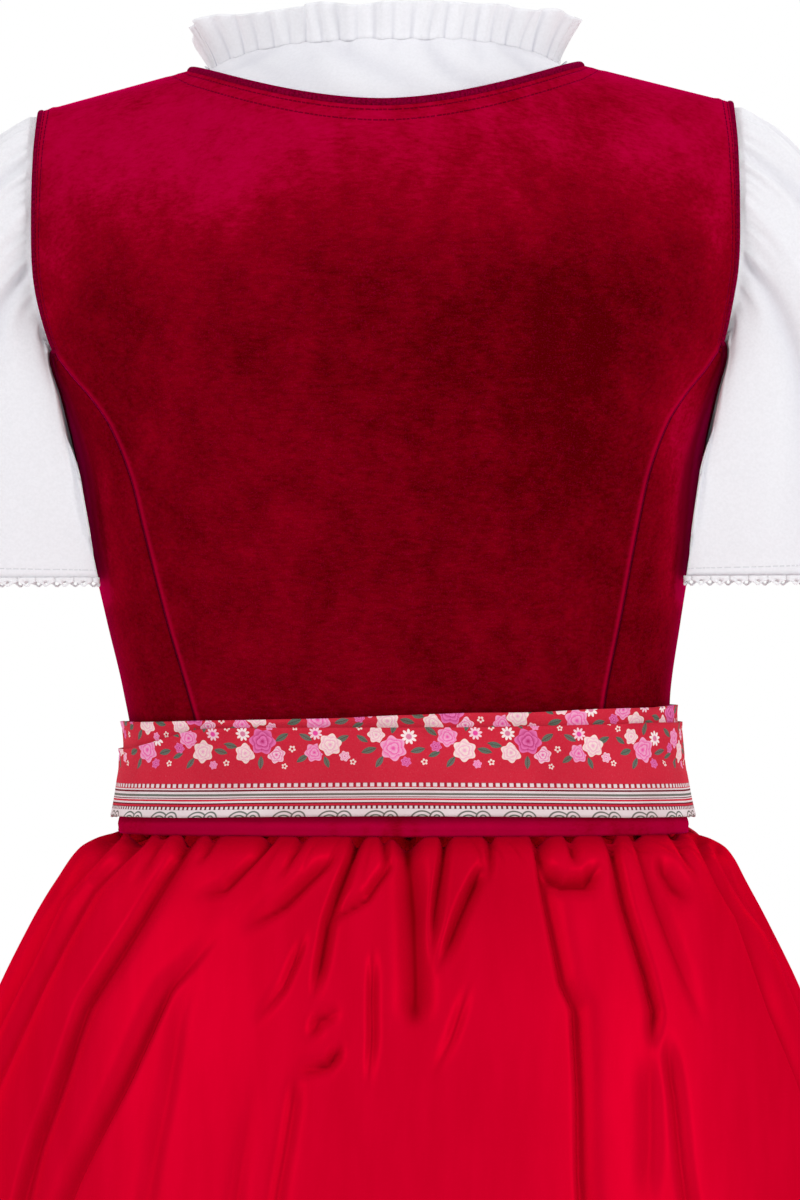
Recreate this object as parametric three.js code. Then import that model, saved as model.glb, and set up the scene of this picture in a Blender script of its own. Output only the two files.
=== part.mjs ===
// A dirndl set, hollow and in the shape it has when worn: velvet bodice, gathered satin
// skirt, puff-sleeved blouse with a neck frill, and an apron tied twice round the waist.
// Millimetres, +Z up. The garment faces -Y, its back is on +Y, +X is the wearer's left.
// The origin is where the shoulders carry it: mid-way between the two neck ends of the
// shoulder seams.
import * as THREE from 'three';

// ---- cloth ---------------------------------------------------------------------------
const SEAM = 0.3;                 // gap between two pieces that are sewn together
const BINDING_GAP = 1.1;          // from a curved edge to the binding laid along it
const VELVET = 2.0;               // bodice panels, velvet on its lining
const SATIN = 1.2;
const LINEN = 1.0;                // blouse, frill and lace
const COTTON = 1.2;               // printed apron and its band
const BLOUSE_INSET = 4;           // air between the bodice's inside and the blouse

// ---- lengths -------------------------------------------------------------------------
const WAIST_SEAM = -405;          // lower edge of the velvet
const STRIP_TOP = -397.6;         // the velvet strip that shows under the apron band
const UNDERARM = -208;
const SHOULDER_TIP = { x: 182.5, z: -20.5 };
const NECK_END = 104;             // half-width of the bodice's neck at the shoulder seam
const NECK_DIP = 24;              // how far the back neckline hangs below the shoulders
const NECK_CURVE = 1.8;
const RIDGE_RISE = 42;            // height of the neck base above the shoulder seams
const SHOULDER_ROUND = 130;       // height over which the back and chest turn into the shoulder
const SQUARENESS = 2.5;           // exponent of the body's cross-sections
const RIDGE_CURVE = 1.6;
const BUST = { rise: 7, x: 78, z: -218, spread: 42 };
const FRONT_NECK = { x: 84, low: -170, high: -118 };
const HEM = -1025;                // skirt hem
const APRON_HEM = -985;

// ---- tables: one row for each section, z downwards ---------------------------------
// half: half-width at the side seams; back and front: depths from the side-seam plane.
const BODY_ROWS = [
  { z: 60, half: 200, back: 98, front: 52 },
  { z: 0, half: 200, back: 100, front: 60 },
  { z: -60, half: 201, back: 103, front: 76 },
  { z: -110, half: 199, back: 105, front: 96 },
  { z: -150, half: 185, back: 104, front: 111 },
  { z: -176, half: 174, back: 103, front: 120 },
  { z: -208, half: 165, back: 101, front: 127 },
  { z: -250, half: 160, back: 96, front: 122 },
  { z: -293, half: 152, back: 90, front: 110 },
  { z: -330, half: 145, back: 84, front: 101 },
  { z: -360, half: 142.5, back: 83, front: 99 },
  { z: -385, half: 144.5, back: 84, front: 100 },
  { z: -405, half: 148.5, back: 88, front: 104 },
  { z: -450, half: 160, back: 99, front: 112 },
];
// The body stands a little to the wearer's right at the waist.
const LEAN_ROWS = [
  { z: 60, x: 0 },
  { z: -120, x: 0 },
  { z: -165, x: -1.8 },
  { z: -200, x: -2 },
  { z: -260, x: -3 },
  { z: -330, x: -5.8 },
  { z: -360, x: -8.2 },
  { z: -410, x: -9 },
  { z: -440, x: -7.4 },
  { z: -490, x: -6.9 },
  { z: -1030, x: 0 },
];
const ROLL = 0.0135;              // the wearer's right shoulder is carried a little higher
const ROLL_END = { full: -120, none: -330 };

// edge: half-width of the centre back, along the armhole and then the princess seam.
const BACK_EDGE_ROWS = [
  { z: 10, x: 181 },
  { z: -24, x: 182.5 },
  { z: -45, x: 184 },
  { z: -80, x: 184.5 },
  { z: -110, x: 183.5 },
  { z: -135, x: 179 },
  { z: -150, x: 174.5 },
  { z: -162, x: 167 },
  { z: -175, x: 156 },
  { z: -190, x: 146 },
  { z: -215, x: 136 },
  { z: -240, x: 130 },
  { z: -290, x: 119 },
  { z: -341, x: 107 },
  { z: -408, x: 97 },
];
const FRONT_EDGE_ROWS = [
  { z: 10, x: 181 },
  { z: -24, x: 182.5 },
  { z: -60, x: 177 },
  { z: -100, x: 170 },
  { z: -135, x: 168 },
  { z: -150, x: 162 },
  { z: -165, x: 143 },
  { z: -185, x: 118 },
  { z: -215, x: 98 },
  { z: -260, x: 84 },
  { z: -310, x: 72 },
  { z: -352, x: 66 },
  { z: -408, x: 70 },
];
// Smooth outline of the skirt without its folds.
const SKIRT_ROWS = [
  { z: -405, half: 151, back: 91, front: 105.6 },
  { z: -408, half: 162, back: 101, front: 114 },
  { z: -414, half: 172, back: 110, front: 121 },
  { z: -430, half: 182.5, back: 121, front: 132 },
  { z: -452, half: 195, back: 134, front: 144 },
  { z: -491, half: 214, back: 154, front: 162 },
  { z: -560, half: 241, back: 182, front: 188 },
  { z: -700, half: 288, back: 228, front: 232 },
  { z: -850, half: 334, back: 272, front: 273 },
  { z: -1025, half: 380, back: 318, front: 316 },
];
// Valleys between the skirt's gathers, in degrees from the back's middle, positive to the
// wearer's left. top and low: where a valley runs at the waist and lower down; depth at
// the hem; width: half of its breadth; start and full: heights where it opens.
const FOLD_ROWS = [
  { top: 62, low: 66, depth: 15, width: 6, start: -404, full: -520 },
  { top: 46, low: 54, depth: 16, width: 5, start: -404, full: -500 },
  { top: 24, low: 41, depth: 20, width: 5, start: -404, full: -520 },
  { top: 9, low: 14, depth: 15, width: 4.5, start: -410, full: -520 },
  { top: -6, low: -4, depth: 19, width: 5, start: -404, full: -480 },
  { top: -25, low: -24, depth: 20, width: 4.5, start: -404, full: -500 },
  { top: -41, low: -39, depth: 16, width: 4.5, start: -404, full: -500 },
  { top: -60, low: -59, depth: 17, width: 5.5, start: -404, full: -520 },
  { top: -78, low: -76, depth: 14, width: 5, start: -404, full: -560 },
  { top: 80, low: 81, depth: 14, width: 5, start: -404, full: -560 },
  { top: 100, low: 98, depth: 15, width: 5.5, start: -404, full: -540 },
  { top: 121, low: 118, depth: 16, width: 6, start: -404, full: -540 },
  { top: 141, low: 139, depth: 14, width: 5.5, start: -404, full: -540 },
  { top: 162, low: 160, depth: 16, width: 5.5, start: -404, full: -540 },
  { top: -178, low: -177, depth: 14, width: 5, start: -404, full: -540 },
  { top: -160, low: -157, depth: 16, width: 6, start: -404, full: -540 },
  { top: -138, low: -136, depth: 14, width: 5.5, start: -404, full: -540 },
  { top: -117, low: -115, depth: 16, width: 6, start: -404, full: -540 },
  { top: -97, low: -95, depth: 13, width: 5, start: -404, full: -560 },
];

const MATERIALS = {
  velvet: { color: 0x8a0320, roughness: 0.85 },
  binding: { color: 0x5c0a26, roughness: 0.7 },
  satin: { color: 0xc30023, roughness: 0.4 },
  blouse: { color: 0xf2f2f6, roughness: 0.8 },
  lace: { color: 0xf6f4f8, roughness: 0.9 },
  print: { color: 0xbe1b33, roughness: 0.75 },
  button: { color: 0xb9b9bd, roughness: 0.35, metalness: 0.8 },
};

// ---- small tools ---------------------------------------------------------------------
const clamp = (value, low = 0, high = 1) => Math.min(high, Math.max(low, value));
const mix = (a, b, t) => a + (b - a) * t;
const ease = (t) => clamp(t) ** 2 * (3 - 2 * clamp(t));
const radians = THREE.MathUtils.degToRad;

// Smooth curve through one column of a table, by height; flat beyond its ends.
function column(rows, name) {
  const slope = rows.map((row, i) => {
    const before = rows[Math.max(0, i - 1)];
    const after = rows[Math.min(rows.length - 1, i + 1)];
    return (after[name] - before[name]) / (after.z - before.z);
  });
  return (z) => {
    if (z >= rows[0].z) return rows[0][name];
    const last = rows.length - 1;
    if (z <= rows[last].z) return rows[last][name];
    const i = rows.findIndex((row) => row.z < z) - 1;
    const step = rows[i + 1].z - rows[i].z;
    const t = (z - rows[i].z) / step;
    const rise = (rows[i + 1][name] - rows[i][name]) * t * t * (3 - 2 * t);
    const bend = step * t * (1 - t) * ((1 - t) * slope[i] - t * slope[i + 1]);
    return rows[i][name] + rise + bend;
  };
}
const bodyHalf = column(BODY_ROWS, 'half');
const bodyBack = column(BODY_ROWS, 'back');
const bodyFront = column(BODY_ROWS, 'front');
const leanAt = column(LEAN_ROWS, 'x');
const backEdge = column(BACK_EDGE_ROWS, 'x');
const frontEdge = column(FRONT_EDGE_ROWS, 'x');
const skirtHalf = column(SKIRT_ROWS, 'half');
const skirtBack = column(SKIRT_ROWS, 'back');
const skirtFront = column(SKIRT_ROWS, 'front');

// The stance: every point of the garment passes through it last.
function pose(point) {
  const carried = ease((point.z - ROLL_END.none) / (ROLL_END.full - ROLL_END.none));
  const x = point.x + leanAt(point.z);
  return new THREE.Vector3(x, point.y, point.z - ROLL * carried * point.x);
}

// Height of the shoulder and neck ridge above a distance from the middle.
function ridge(x) {
  const across = Math.abs(x);
  const slope = SHOULDER_TIP.z / (SHOULDER_TIP.x - NECK_END);
  if (across > NECK_END) return slope * (across - NECK_END);
  return RIDGE_RISE * (1 - (across / NECK_END) ** RIDGE_CURVE);
}

// A point of the body's form, side +1 for the back and -1 for the front.
function form(x, z, side) {
  const depth = side > 0 ? bodyBack(z) : bodyFront(z);
  const inside = clamp(1 - Math.abs(x / bodyHalf(z)) ** SQUARENESS);
  const down = clamp((ridge(x) - z) / SHOULDER_ROUND);
  const away = Math.hypot(Math.abs(x) - BUST.x, z - BUST.z) / BUST.spread;
  const bust = side > 0 ? 0 : BUST.rise * Math.exp(-away * away);
  const round = Math.sqrt(1 - (1 - down) ** 2);
  const out = depth * inside ** (1 / SQUARENESS) * round + bust * inside;
  return new THREE.Vector3(x, side * (out + SEAM / 2), z);
}

// ---- solids --------------------------------------------------------------------------
// A wall of cloth over a grid of the surface at(u, v), u and v from 0 to 1. lift moves its
// outer face away from hub(point), along the surface, and thickness goes back in from
// there. A ring closes on itself in u. A turning wall folds back under its edge, so its
// sides are told apart once for all of it. The solid is turned right side out by its volume.
const HUB_DROP = 40;              // the middle that a body wall faces away from lies this far below
const bodyAxis = (point) => new THREE.Vector3(0, 0, point.z - HUB_DROP);
function wall(options) {
  const { name, finish, at, columns, rows, thickness, lift = 0, ring = false } = options;
  const { turning = false, hub = bodyAxis } = options;
  const across = ring ? columns : columns + 1;
  const reach = 1e-4;
  const points = [];
  const normalAt = (u, v) => {
    const [left, right] = ring ? [u - reach, u + reach] : [Math.max(u - reach, 0), Math.min(u + reach, 1)];
    const du = at(right, v).sub(at(left, v));
    const dv = at(u, Math.min(v + reach, 1)).sub(at(u, Math.max(v - reach, 0)));
    return du.cross(dv).normalize();
  };
  const facing = (u, v) => normalAt(u, v).dot(at(u, v).sub(hub(at(u, v))));
  let side = 0;
  for (let j = 0; j <= rows && turning; j += 1) {
    for (let i = 0; i < across; i += 1) side += facing(i / columns, j / rows);
  }
  for (const offset of [lift, lift - thickness]) {
    for (let j = 0; j <= rows; j += 1) {
      for (let i = 0; i < across; i += 1) {
        const [u, v] = [i / columns, j / rows];
        const sign = Math.sign(side || facing(u, v)) || 1;
        points.push(at(u, v).addScaledVector(normalAt(u, v), sign * offset));
      }
    }
  }
  const index = (i, j, layer) => (layer * (rows + 1) + j) * across + (ring ? i % columns : i);
  const faces = [];
  const quad = (a, b, c, d) => faces.push(a, b, c, a, c, d);
  for (let i = 0; i < columns; i += 1) {
    for (let j = 0; j < rows; j += 1) {
      quad(index(i, j, 0), index(i + 1, j, 0), index(i + 1, j + 1, 0), index(i, j + 1, 0));
      quad(index(i, j, 1), index(i, j + 1, 1), index(i + 1, j + 1, 1), index(i + 1, j, 1));
    }
    quad(index(i + 1, 0, 0), index(i, 0, 0), index(i, 0, 1), index(i + 1, 0, 1));
    quad(index(i, rows, 0), index(i + 1, rows, 0), index(i + 1, rows, 1), index(i, rows, 1));
  }
  for (let j = 0; j < rows && !ring; j += 1) {
    quad(index(0, j, 0), index(0, j + 1, 0), index(0, j + 1, 1), index(0, j, 1));
    quad(index(columns, j + 1, 0), index(columns, j, 0), index(columns, j, 1), index(columns, j + 1, 1));
  }
  return solid(name, finish, points, faces);
}

function solid(name, finish, points, faces) {
  let volume = 0;
  for (let i = 0; i < faces.length; i += 3) {
    const [a, b, c] = [points[faces[i]], points[faces[i + 1]], points[faces[i + 2]]];
    volume += a.dot(new THREE.Vector3().crossVectors(b, c));
  }
  const turned = volume < 0 ? faces.slice().reverse() : faces;
  const geometry = new THREE.BufferGeometry();
  const flat = points.flatMap((point) => pose(point).toArray());
  geometry.setAttribute('position', new THREE.Float32BufferAttribute(flat, 3));
  geometry.setIndex(turned);
  geometry.computeVertexNormals();
  const mesh = new THREE.Mesh(geometry, new THREE.MeshStandardMaterial(MATERIALS[finish]));
  mesh.name = name;
  return mesh;
}

// Binding of rectangular section along edge(u), which gives the point of a panel's edge,
// the direction out of its face and the direction off its edge. A loop closes on itself.
function binding({ name, finish, edge, segments, width, height, loop = false }) {
  const corners = [[0, -1], [1, -1], [1, 0.2], [0, 0.2]];
  const stations = loop ? segments : segments + 1;
  const points = [];
  for (let i = 0; i < stations; i += 1) {
    const { point, out, off } = edge(i / segments);
    for (const [across, up] of corners) {
      const from = point.clone().addScaledVector(off, BINDING_GAP + across * width);
      points.push(from.addScaledVector(out, up * height));
    }
  }
  const faces = [];
  for (let i = 0; i < segments; i += 1) {
    const next = (i + 1) % stations;
    for (let k = 0; k < 4; k += 1) {
      const l = (k + 1) % 4;
      const [a, b, c, d] = [i * 4 + k, next * 4 + k, next * 4 + l, i * 4 + l];
      faces.push(a, b, c, a, c, d);
    }
  }
  if (!loop) {
    const end = segments * 4;
    faces.push(0, 1, 2, 0, 2, 3, end + 2, end + 1, end, end + 3, end + 2, end);
  }
  return solid(name, finish, points, faces);
}

// Direction out of the body's form at one of its points.
function formNormal(point, side) {
  const step = 0.5;
  const right = form(point.x + step, point.z, side).sub(form(point.x - step, point.z, side));
  const up = form(point.x, point.z + step, side).sub(form(point.x, point.z - step, side));
  const out = right.cross(up).normalize();
  return out.dot(point.clone().sub(bodyAxis(point))) < 0 ? out.negate() : out;
}

// The edge curve at(u) round an opening of the form, with the direction out of the cloth
// and the one off its edge, towards the opening's middle.
function edgeFrame(at, u, sideOf, opening) {
  const reach = 1e-3;
  const side = sideOf(u);
  const point = at(u);
  const along = at(u + reach).sub(at(u - reach)).normalize();
  const out = formNormal(point, side);
  const off = along.cross(out).normalize();
  if (off.dot(opening.clone().sub(point)) < 0) off.negate();
  return { point, out, off };
}

// ---- bodice --------------------------------------------------------------------------
const BACK_LEVELS = [-404.4, -345, -285, -235, -205, -180, -165, -150, -122];
const FRONT_LEVELS = [-404.4, -365, -330, -295, -250, -215, -190, FRONT_NECK.low, -168.5, -164, -156,
  -145, -133, FRONT_NECK.high, -90];
const BACK_COLUMNS = [0, 0.12, 0.26, 0.4, 0.51, 0.575, 0.7, 0.86, 1];
const CROWN_ROWS = 5;             // rows that turn over the shoulder
const ARMHOLE_START = { back: -150, front: -145 };
const ARMHOLE_CURVE = 1.8;
const ARMHOLE_STRAIGHT = { share: 0.6, curve: 1.7 };   // its run down from the shoulder tip
// The neck edge from a closing edge, 0, to the back's middle, 1: where the front's round ends
// and where the shoulder seam lies.
const NECK_RUN = { corner: 0.3, shoulder: 0.62 };
const STRAP_CURVE = 1.3;
const TRIM = { width: 1.5, height: 2.4 };              // section of the bindings

// Height of a row: through the levels first, then closing in on the top edge.
function levelAt(levels, v, top) {
  const step = v * (levels.length - 1 + CROWN_ROWS);
  const last = levels.length - 1;
  if (step > last) {
    return mix(levels[last], top, Math.sin((step - last) / CROWN_ROWS * Math.PI / 2));
  }
  const i = Math.min(Math.floor(step), last - 1);
  return mix(levels[i], levels[i + 1], step - i);
}

function backTop(x) {
  const across = Math.abs(x);
  if (across >= NECK_END) return ridge(x);
  return NECK_DIP * ((across / NECK_END) ** NECK_CURVE - 1);
}

function bodiceBack() {
  const columns = 2 * (BACK_COLUMNS.length - 1);
  const at = (u, v) => {
    const step = Math.abs(2 * u - 1) * (BACK_COLUMNS.length - 1);
    const i = Math.min(Math.floor(step), BACK_COLUMNS.length - 2);
    const s = Math.sign(u - 0.5) * mix(BACK_COLUMNS[i], BACK_COLUMNS[i + 1], step - i);
    const z = levelAt(BACK_LEVELS, v, backTop(s * SHOULDER_TIP.x));
    return form(s * backEdge(z), z, 1);
  };
  const rows = BACK_LEVELS.length - 1 + CROWN_ROWS;
  return wall({ name: 'bodice_back', finish: 'velvet', at, columns, rows, thickness: VELVET });
}

// Inner edge of a front: the closing edge, the round of the neckline, then the strap.
function frontInner(z) {
  const { x, low, high } = FRONT_NECK;
  if (z <= low) return SEAM;
  if (z < high) return Math.max(SEAM, x * Math.sqrt(1 - (1 - (z - low) / (high - low)) ** 2));
  return mix(x, NECK_END, clamp((z - high) / -high) ** STRAP_CURVE);
}

function bodiceFront(name, hand) {
  const at = (u, v) => {
    const z = levelAt(FRONT_LEVELS, v, ridge(mix(NECK_END, SHOULDER_TIP.x, u)));
    return form(hand * mix(frontInner(z), frontEdge(z), u), z, -1);
  };
  const rows = FRONT_LEVELS.length - 1 + CROWN_ROWS;
  return wall({ name, finish: 'velvet', at, columns: 5, rows, thickness: VELVET });
}

// A side panel runs from the princess seam, u = 0, round to the side seam, u = 1.
function sidePoint(hand, side, u, z) {
  const half = bodyHalf(z);
  const edge = (side > 0 ? backEdge : frontEdge)(z) + 2 * SEAM;
  const turn = mix(Math.asin(clamp(edge / half)), Math.PI / 2, u);
  return form(hand * half * Math.sin(turn), z, side);
}
function armholeHeight(side, u) {
  const start = side > 0 ? ARMHOLE_START.back : ARMHOLE_START.front;
  return mix(start, UNDERARM, u ** ARMHOLE_CURVE);
}
function bodiceSide(name, hand, side) {
  const levels = side > 0 ? BACK_LEVELS : FRONT_LEVELS;
  const start = side > 0 ? ARMHOLE_START.back : ARMHOLE_START.front;
  const rows = levels.indexOf(start);
  const at = (u, v) => {
    const i = Math.min(Math.floor(v * rows), rows - 1);
    const seam = mix(levels[i], levels[i + 1], v * rows - i);
    const share = (seam - levels[0]) / (start - levels[0]);
    return sidePoint(hand, side, u, mix(levels[0], armholeHeight(side, u), share));
  };
  return wall({ name, finish: 'velvet', at, columns: 7, rows, thickness: VELVET });
}

// Armhole edge: over the back from the shoulder tip, u = 0, to the underarm, u = 0.5, and
// up the front.
function armholePoint(hand, u) {
  const turn = ((u % 1) + 1) % 1;
  const side = turn < 0.5 ? 1 : -1;
  const down = side > 0 ? turn * 2 : 2 - turn * 2;
  const start = side > 0 ? ARMHOLE_START.back : ARMHOLE_START.front;
  const { share, curve } = ARMHOLE_STRAIGHT;
  if (down > share) {
    const along = (down - share) / (1 - share);
    return sidePoint(hand, side, along, armholeHeight(side, along));
  }
  const z = mix(SHOULDER_TIP.z, start, (down / share) ** curve);
  const x = (side > 0 ? backEdge : frontEdge)(z);
  return form(hand * x, Math.min(z, ridge(x)), side);
}
const armholeSide = (u) => (((u % 1) + 1) % 1 < 0.5 ? 1 : -1);
const armholeFrame = (hand) => (u) => {
  const opening = new THREE.Vector3(hand * 190, 0, (SHOULDER_TIP.z + UNDERARM) / 2);
  return edgeFrame((w) => armholePoint(hand, w), u, armholeSide, opening);
};
function armholeBinding(name, hand) {
  const edge = armholeFrame(hand);
  return binding({ name, finish: 'binding', edge, segments: 28, ...TRIM, loop: true });
}

// Neck edge from the left closing edge, u = 0, over the back, to the right one, u = 1.
function neckPoint(u) {
  const hand = u < 0.5 ? 1 : -1;
  const run = 1 - Math.abs(2 * u - 1);          // 0 at the closing edges, 1 at the back's middle
  const { corner, shoulder } = NECK_RUN;
  if (run > shoulder) {
    const x = hand * NECK_END * (1 - ((run - shoulder) / (1 - shoulder)) ** 2);
    return form(x, backTop(x), 1);
  }
  if (run > corner) {
    const z = FRONT_NECK.high * (1 - (run - corner) / (shoulder - corner)) ** 2;
    return form(hand * frontInner(z), z, -1);
  }
  const turn = run / corner * Math.PI / 2;
  const z = mix(FRONT_NECK.low, FRONT_NECK.high, 1 - Math.cos(turn));
  return form(hand * Math.max(SEAM, FRONT_NECK.x * Math.sin(turn)), z, -1);
}
const neckSide = (u) => (1 - Math.abs(2 * u - 1) > NECK_RUN.shoulder ? 1 : -1);
function neckBinding() {
  const opening = new THREE.Vector3(0, 0, 10);
  const edge = (u) => edgeFrame(neckPoint, mix(0.002, 0.998, u), neckSide, opening);
  return binding({ name: 'neck_binding', finish: 'binding', edge, segments: 50, ...TRIM });
}

// A ring of cloth round the body between two heights, which may differ round it.
// u = 0 is the front's middle.
function bodyRing(u, z) {
  const angle = radians(360 * u - 180);
  const half = bodyHalf(z);
  const side = Math.cos(angle) >= 0 ? 1 : -1;
  const depth = side > 0 ? bodyBack(z) : bodyFront(z);
  const across = Math.abs(Math.sin(angle) / half) ** SQUARENESS;
  const deep = Math.abs(Math.cos(angle) / depth) ** SQUARENESS;
  const radius = (across + deep) ** (-1 / SQUARENESS);
  return new THREE.Vector3(radius * Math.sin(angle), radius * Math.cos(angle), z);
}

const STRIP = { thickness: 1.4, lift: 3.5, columns: 40 };
function waistStrip() {
  const at = (u, v) => bodyRing(u, mix(WAIST_SEAM, STRIP_TOP, v));
  return wall({
    name: 'waist_strip', finish: 'velvet', at, rows: 1, ring: true, ...STRIP,
  });
}

// ---- blouse --------------------------------------------------------------------------
const BLOUSE_END = -262;          // the blouse is cropped below the bust, inside the bodice
const CREST_GAP = 1e-4;           // keeps a top edge on its own side of the ridge
const BLOUSE_LIFT = -(VELVET + BLOUSE_INSET);
const BLOUSE_EDGE = 12;           // how far its armhole seam lies inside the bodice's edge
const BLOUSE_NECK = { x: 91, back: 17, front: -62, curve: 2.2 };
const BLOUSE_UNDERARM = UNDERARM - BLOUSE_EDGE;
const BLOUSE_LEVELS = [BLOUSE_END, BLOUSE_UNDERARM, -180, -150, -115];
const BLOUSE_COLUMNS = [0, 0.17, 0.33, 0.48, 0.64, 0.82, 1];

function blouseTop(x, side) {
  const across = Math.abs(x) / BLOUSE_NECK.x;
  if (across >= 1) return ridge(x);
  const middle = side > 0 ? BLOUSE_NECK.back : BLOUSE_NECK.front;
  return mix(middle, ridge(BLOUSE_NECK.x), across ** BLOUSE_NECK.curve);
}

// Half-width of the blouse's body: its side seam, and above the underarm its armhole.
function blouseEdge(z, side) {
  if (z <= BLOUSE_UNDERARM) return bodyHalf(z);
  const armhole = (side > 0 ? backEdge : frontEdge)(Math.max(z, ARMHOLE_START.front));
  const open = ease((z - BLOUSE_UNDERARM) / (ARMHOLE_START.front - BLOUSE_UNDERARM));
  return mix(bodyHalf(z), armhole - BLOUSE_EDGE, Math.sqrt(open));
}

function blouseX(s, z, side) {
  const half = bodyHalf(z);
  return half * Math.sin(s * Math.asin(clamp(blouseEdge(z, side) / half)));
}

function blouseBody(name, side) {
  const last = BLOUSE_LEVELS.length - 1;
  const rows = last + CROWN_ROWS;
  const columns = 2 * (BLOUSE_COLUMNS.length - 1);
  const at = (u, v) => {
    const place = Math.abs(2 * u - 1) * (BLOUSE_COLUMNS.length - 1);
    const k = Math.min(Math.floor(place), BLOUSE_COLUMNS.length - 2);
    const s = Math.sign(u - 0.5) * mix(BLOUSE_COLUMNS[k], BLOUSE_COLUMNS[k + 1], place - k);
    const step = v * rows;
    const i = Math.min(Math.floor(step), last - 1);
    let top = SHOULDER_TIP.z;
    for (let round = 0; round < 4; round += 1) top = blouseTop(blouseX(s, top, side), side) - CREST_GAP;
    const crown = mix(BLOUSE_LEVELS[last], top, Math.sin((step - last) / CROWN_ROWS * Math.PI / 2));
    const z = step > last ? crown : mix(BLOUSE_LEVELS[i], BLOUSE_LEVELS[i + 1], step - i);
    return form(blouseX(s, z, side), z, side);
  };
  return wall({ name, finish: 'blouse', at, columns, rows, thickness: LINEN, lift: BLOUSE_LIFT });
}

// The frill stands on the neck seam, u = 0 at the front's middle, and leans outwards.
const FRILL = { height: 18.5, waves: 30, wave: 4.2, foot: 0.8, out: 2, lean: 5, start: 0.9 };
function neckSeam(u) {
  const angle = radians(360 * u - 180);
  const side = Math.cos(angle) >= 0 ? 1 : -1;
  const x = BLOUSE_NECK.x * Math.sin(angle);
  const z = blouseTop(Math.sign(x) * Math.min(Math.abs(x), BLOUSE_NECK.x - 1e-6), side);
  const point = form(x, z, side);
  return point.addScaledVector(formNormal(point, side), BLOUSE_LIFT);
}
function neckFrill() {
  const at = (u, v) => {
    const base = neckSeam(u);
    const outward = new THREE.Vector3(base.x, base.y, 0).normalize();
    const wave = Math.cos(2 * Math.PI * FRILL.waves * u);
    const rise = FRILL.start + FRILL.height * v;
    const out = FRILL.out + FRILL.foot * wave + v * (FRILL.lean + FRILL.wave * wave);
    return base.addScaledVector(outward, out).add(new THREE.Vector3(0, 0, rise));
  };
  const columns = FRILL.waves * 2;
  return wall({ name: 'neck_frill', finish: 'blouse', at, columns, rows: 1, thickness: LINEN, ring: true });
}

// A sleeve: u goes round the arm from the shoulder, over the back, to the underarm; v runs
// from the armhole seam, out under the bodice's edge, then over the puff to the hem.
// hem, middle, reach, deep and forward place the hem's oval; crown, swell, puff and drop
// shape the gathered fullness above it.
const SLEEVE = {
  hem: -270, middle: 214, reach: 64, deep: 62, forward: 18, clear: 2.4, under: 6.2, seat: 1.2, crown: 4.6,
  tuck: 2, full: 42, swell: 46, puff: 34, drop: -43,
};
const SLEEVE_ROWS = 8;
const SLEEVE_COLUMNS = 16;
const LACE = { height: 5.5, thickness: 0.8 };

// Nearest x to the body's side that cloth outside the bodice may have.
function besideBody(y, z) {
  const depth = y > 0 ? bodyBack(z) : bodyFront(z);
  const inside = clamp(1 - Math.abs(y / depth) ** SQUARENESS);
  return bodyHalf(z) * inside ** (1 / SQUARENESS) + SLEEVE.clear;
}
function sleeveHem(hand, u) {
  const angle = 2 * Math.PI * u;
  const y = SLEEVE.deep * Math.sin(angle) - SLEEVE.forward;
  const x = Math.max(SLEEVE.middle + SLEEVE.reach * Math.cos(angle), besideBody(y, SLEEVE.hem));
  return new THREE.Vector3(hand * x, y, SLEEVE.hem);
}
function sleevePoint(hand, u, v) {
  const { point, out, off } = armholeFrame(hand)(u);
  const step = v * SLEEVE_ROWS;
  point.addScaledVector(out, BLOUSE_LIFT);
  const seam = point.clone().addScaledVector(off, SLEEVE.seat - BLOUSE_EDGE);
  const under = point.clone().addScaledVector(off, SLEEVE.under);
  if (step <= 1) return seam.lerp(under, step);
  const angle = 2 * Math.PI * u;
  const outward = new THREE.Vector3(hand, 0, 0);
  const lift = SLEEVE.crown + SLEEVE.tuck * Math.cos(angle) ** 2;
  const crown = under.clone().addScaledVector(outward, SLEEVE.tuck).addScaledVector(out, lift);
  if (step <= 2) return under.lerp(crown, step - 1);
  const t = (step - 2) / (SLEEVE_ROWS - 2);
  const control = crown.clone();
  control.x += hand * (SLEEVE.full + SLEEVE.swell * Math.cos(angle));
  control.y += SLEEVE.puff * Math.sin(angle);
  control.z += SLEEVE.drop;
  const bent = crown.multiplyScalar((1 - t) ** 2).addScaledVector(control, 2 * t * (1 - t));
  const place = bent.addScaledVector(sleeveHem(hand, u), t * t);
  place.x = hand * Math.max(hand * place.x, place.z < UNDERARM + 4 ? besideBody(place.y, place.z) : 0);
  return place;
}
const sleeveAxis = (hand) => (point) => new THREE.Vector3(hand * 216, 0, point.z - 10);
function sleeve(name, hand) {
  const at = (u, v) => sleevePoint(hand, u, v);
  return wall({
    name, finish: 'blouse', at, columns: SLEEVE_COLUMNS, rows: SLEEVE_ROWS, thickness: LINEN,
    ring: true, turning: true, hub: sleeveAxis(hand),
  });
}
function sleeveLace(name, hand) {
  const at = (u, v) => sleeveHem(hand, u).add(new THREE.Vector3(0, 0, -0.5 - LACE.height * v));
  return wall({
    name, finish: 'lace', at, columns: SLEEVE_COLUMNS, rows: 1, thickness: LACE.thickness, ring: true,
    hub: sleeveAxis(hand),
  });
}

// ---- skirt ---------------------------------------------------------------------------
const SKIRT_HEIGHTS = [WAIST_SEAM - 0.4, -414, -430, -458, -510, -620, -800, HEM];
const SKIRT_COLUMNS = { back: 38, front: 26 };
const ROUND_HEM = 2.1;            // exponent of the skirt's sections at the hem
const SETTLED = { round: 200, fold: 170, start: 0.4 }; // drops below the waist seam

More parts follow.
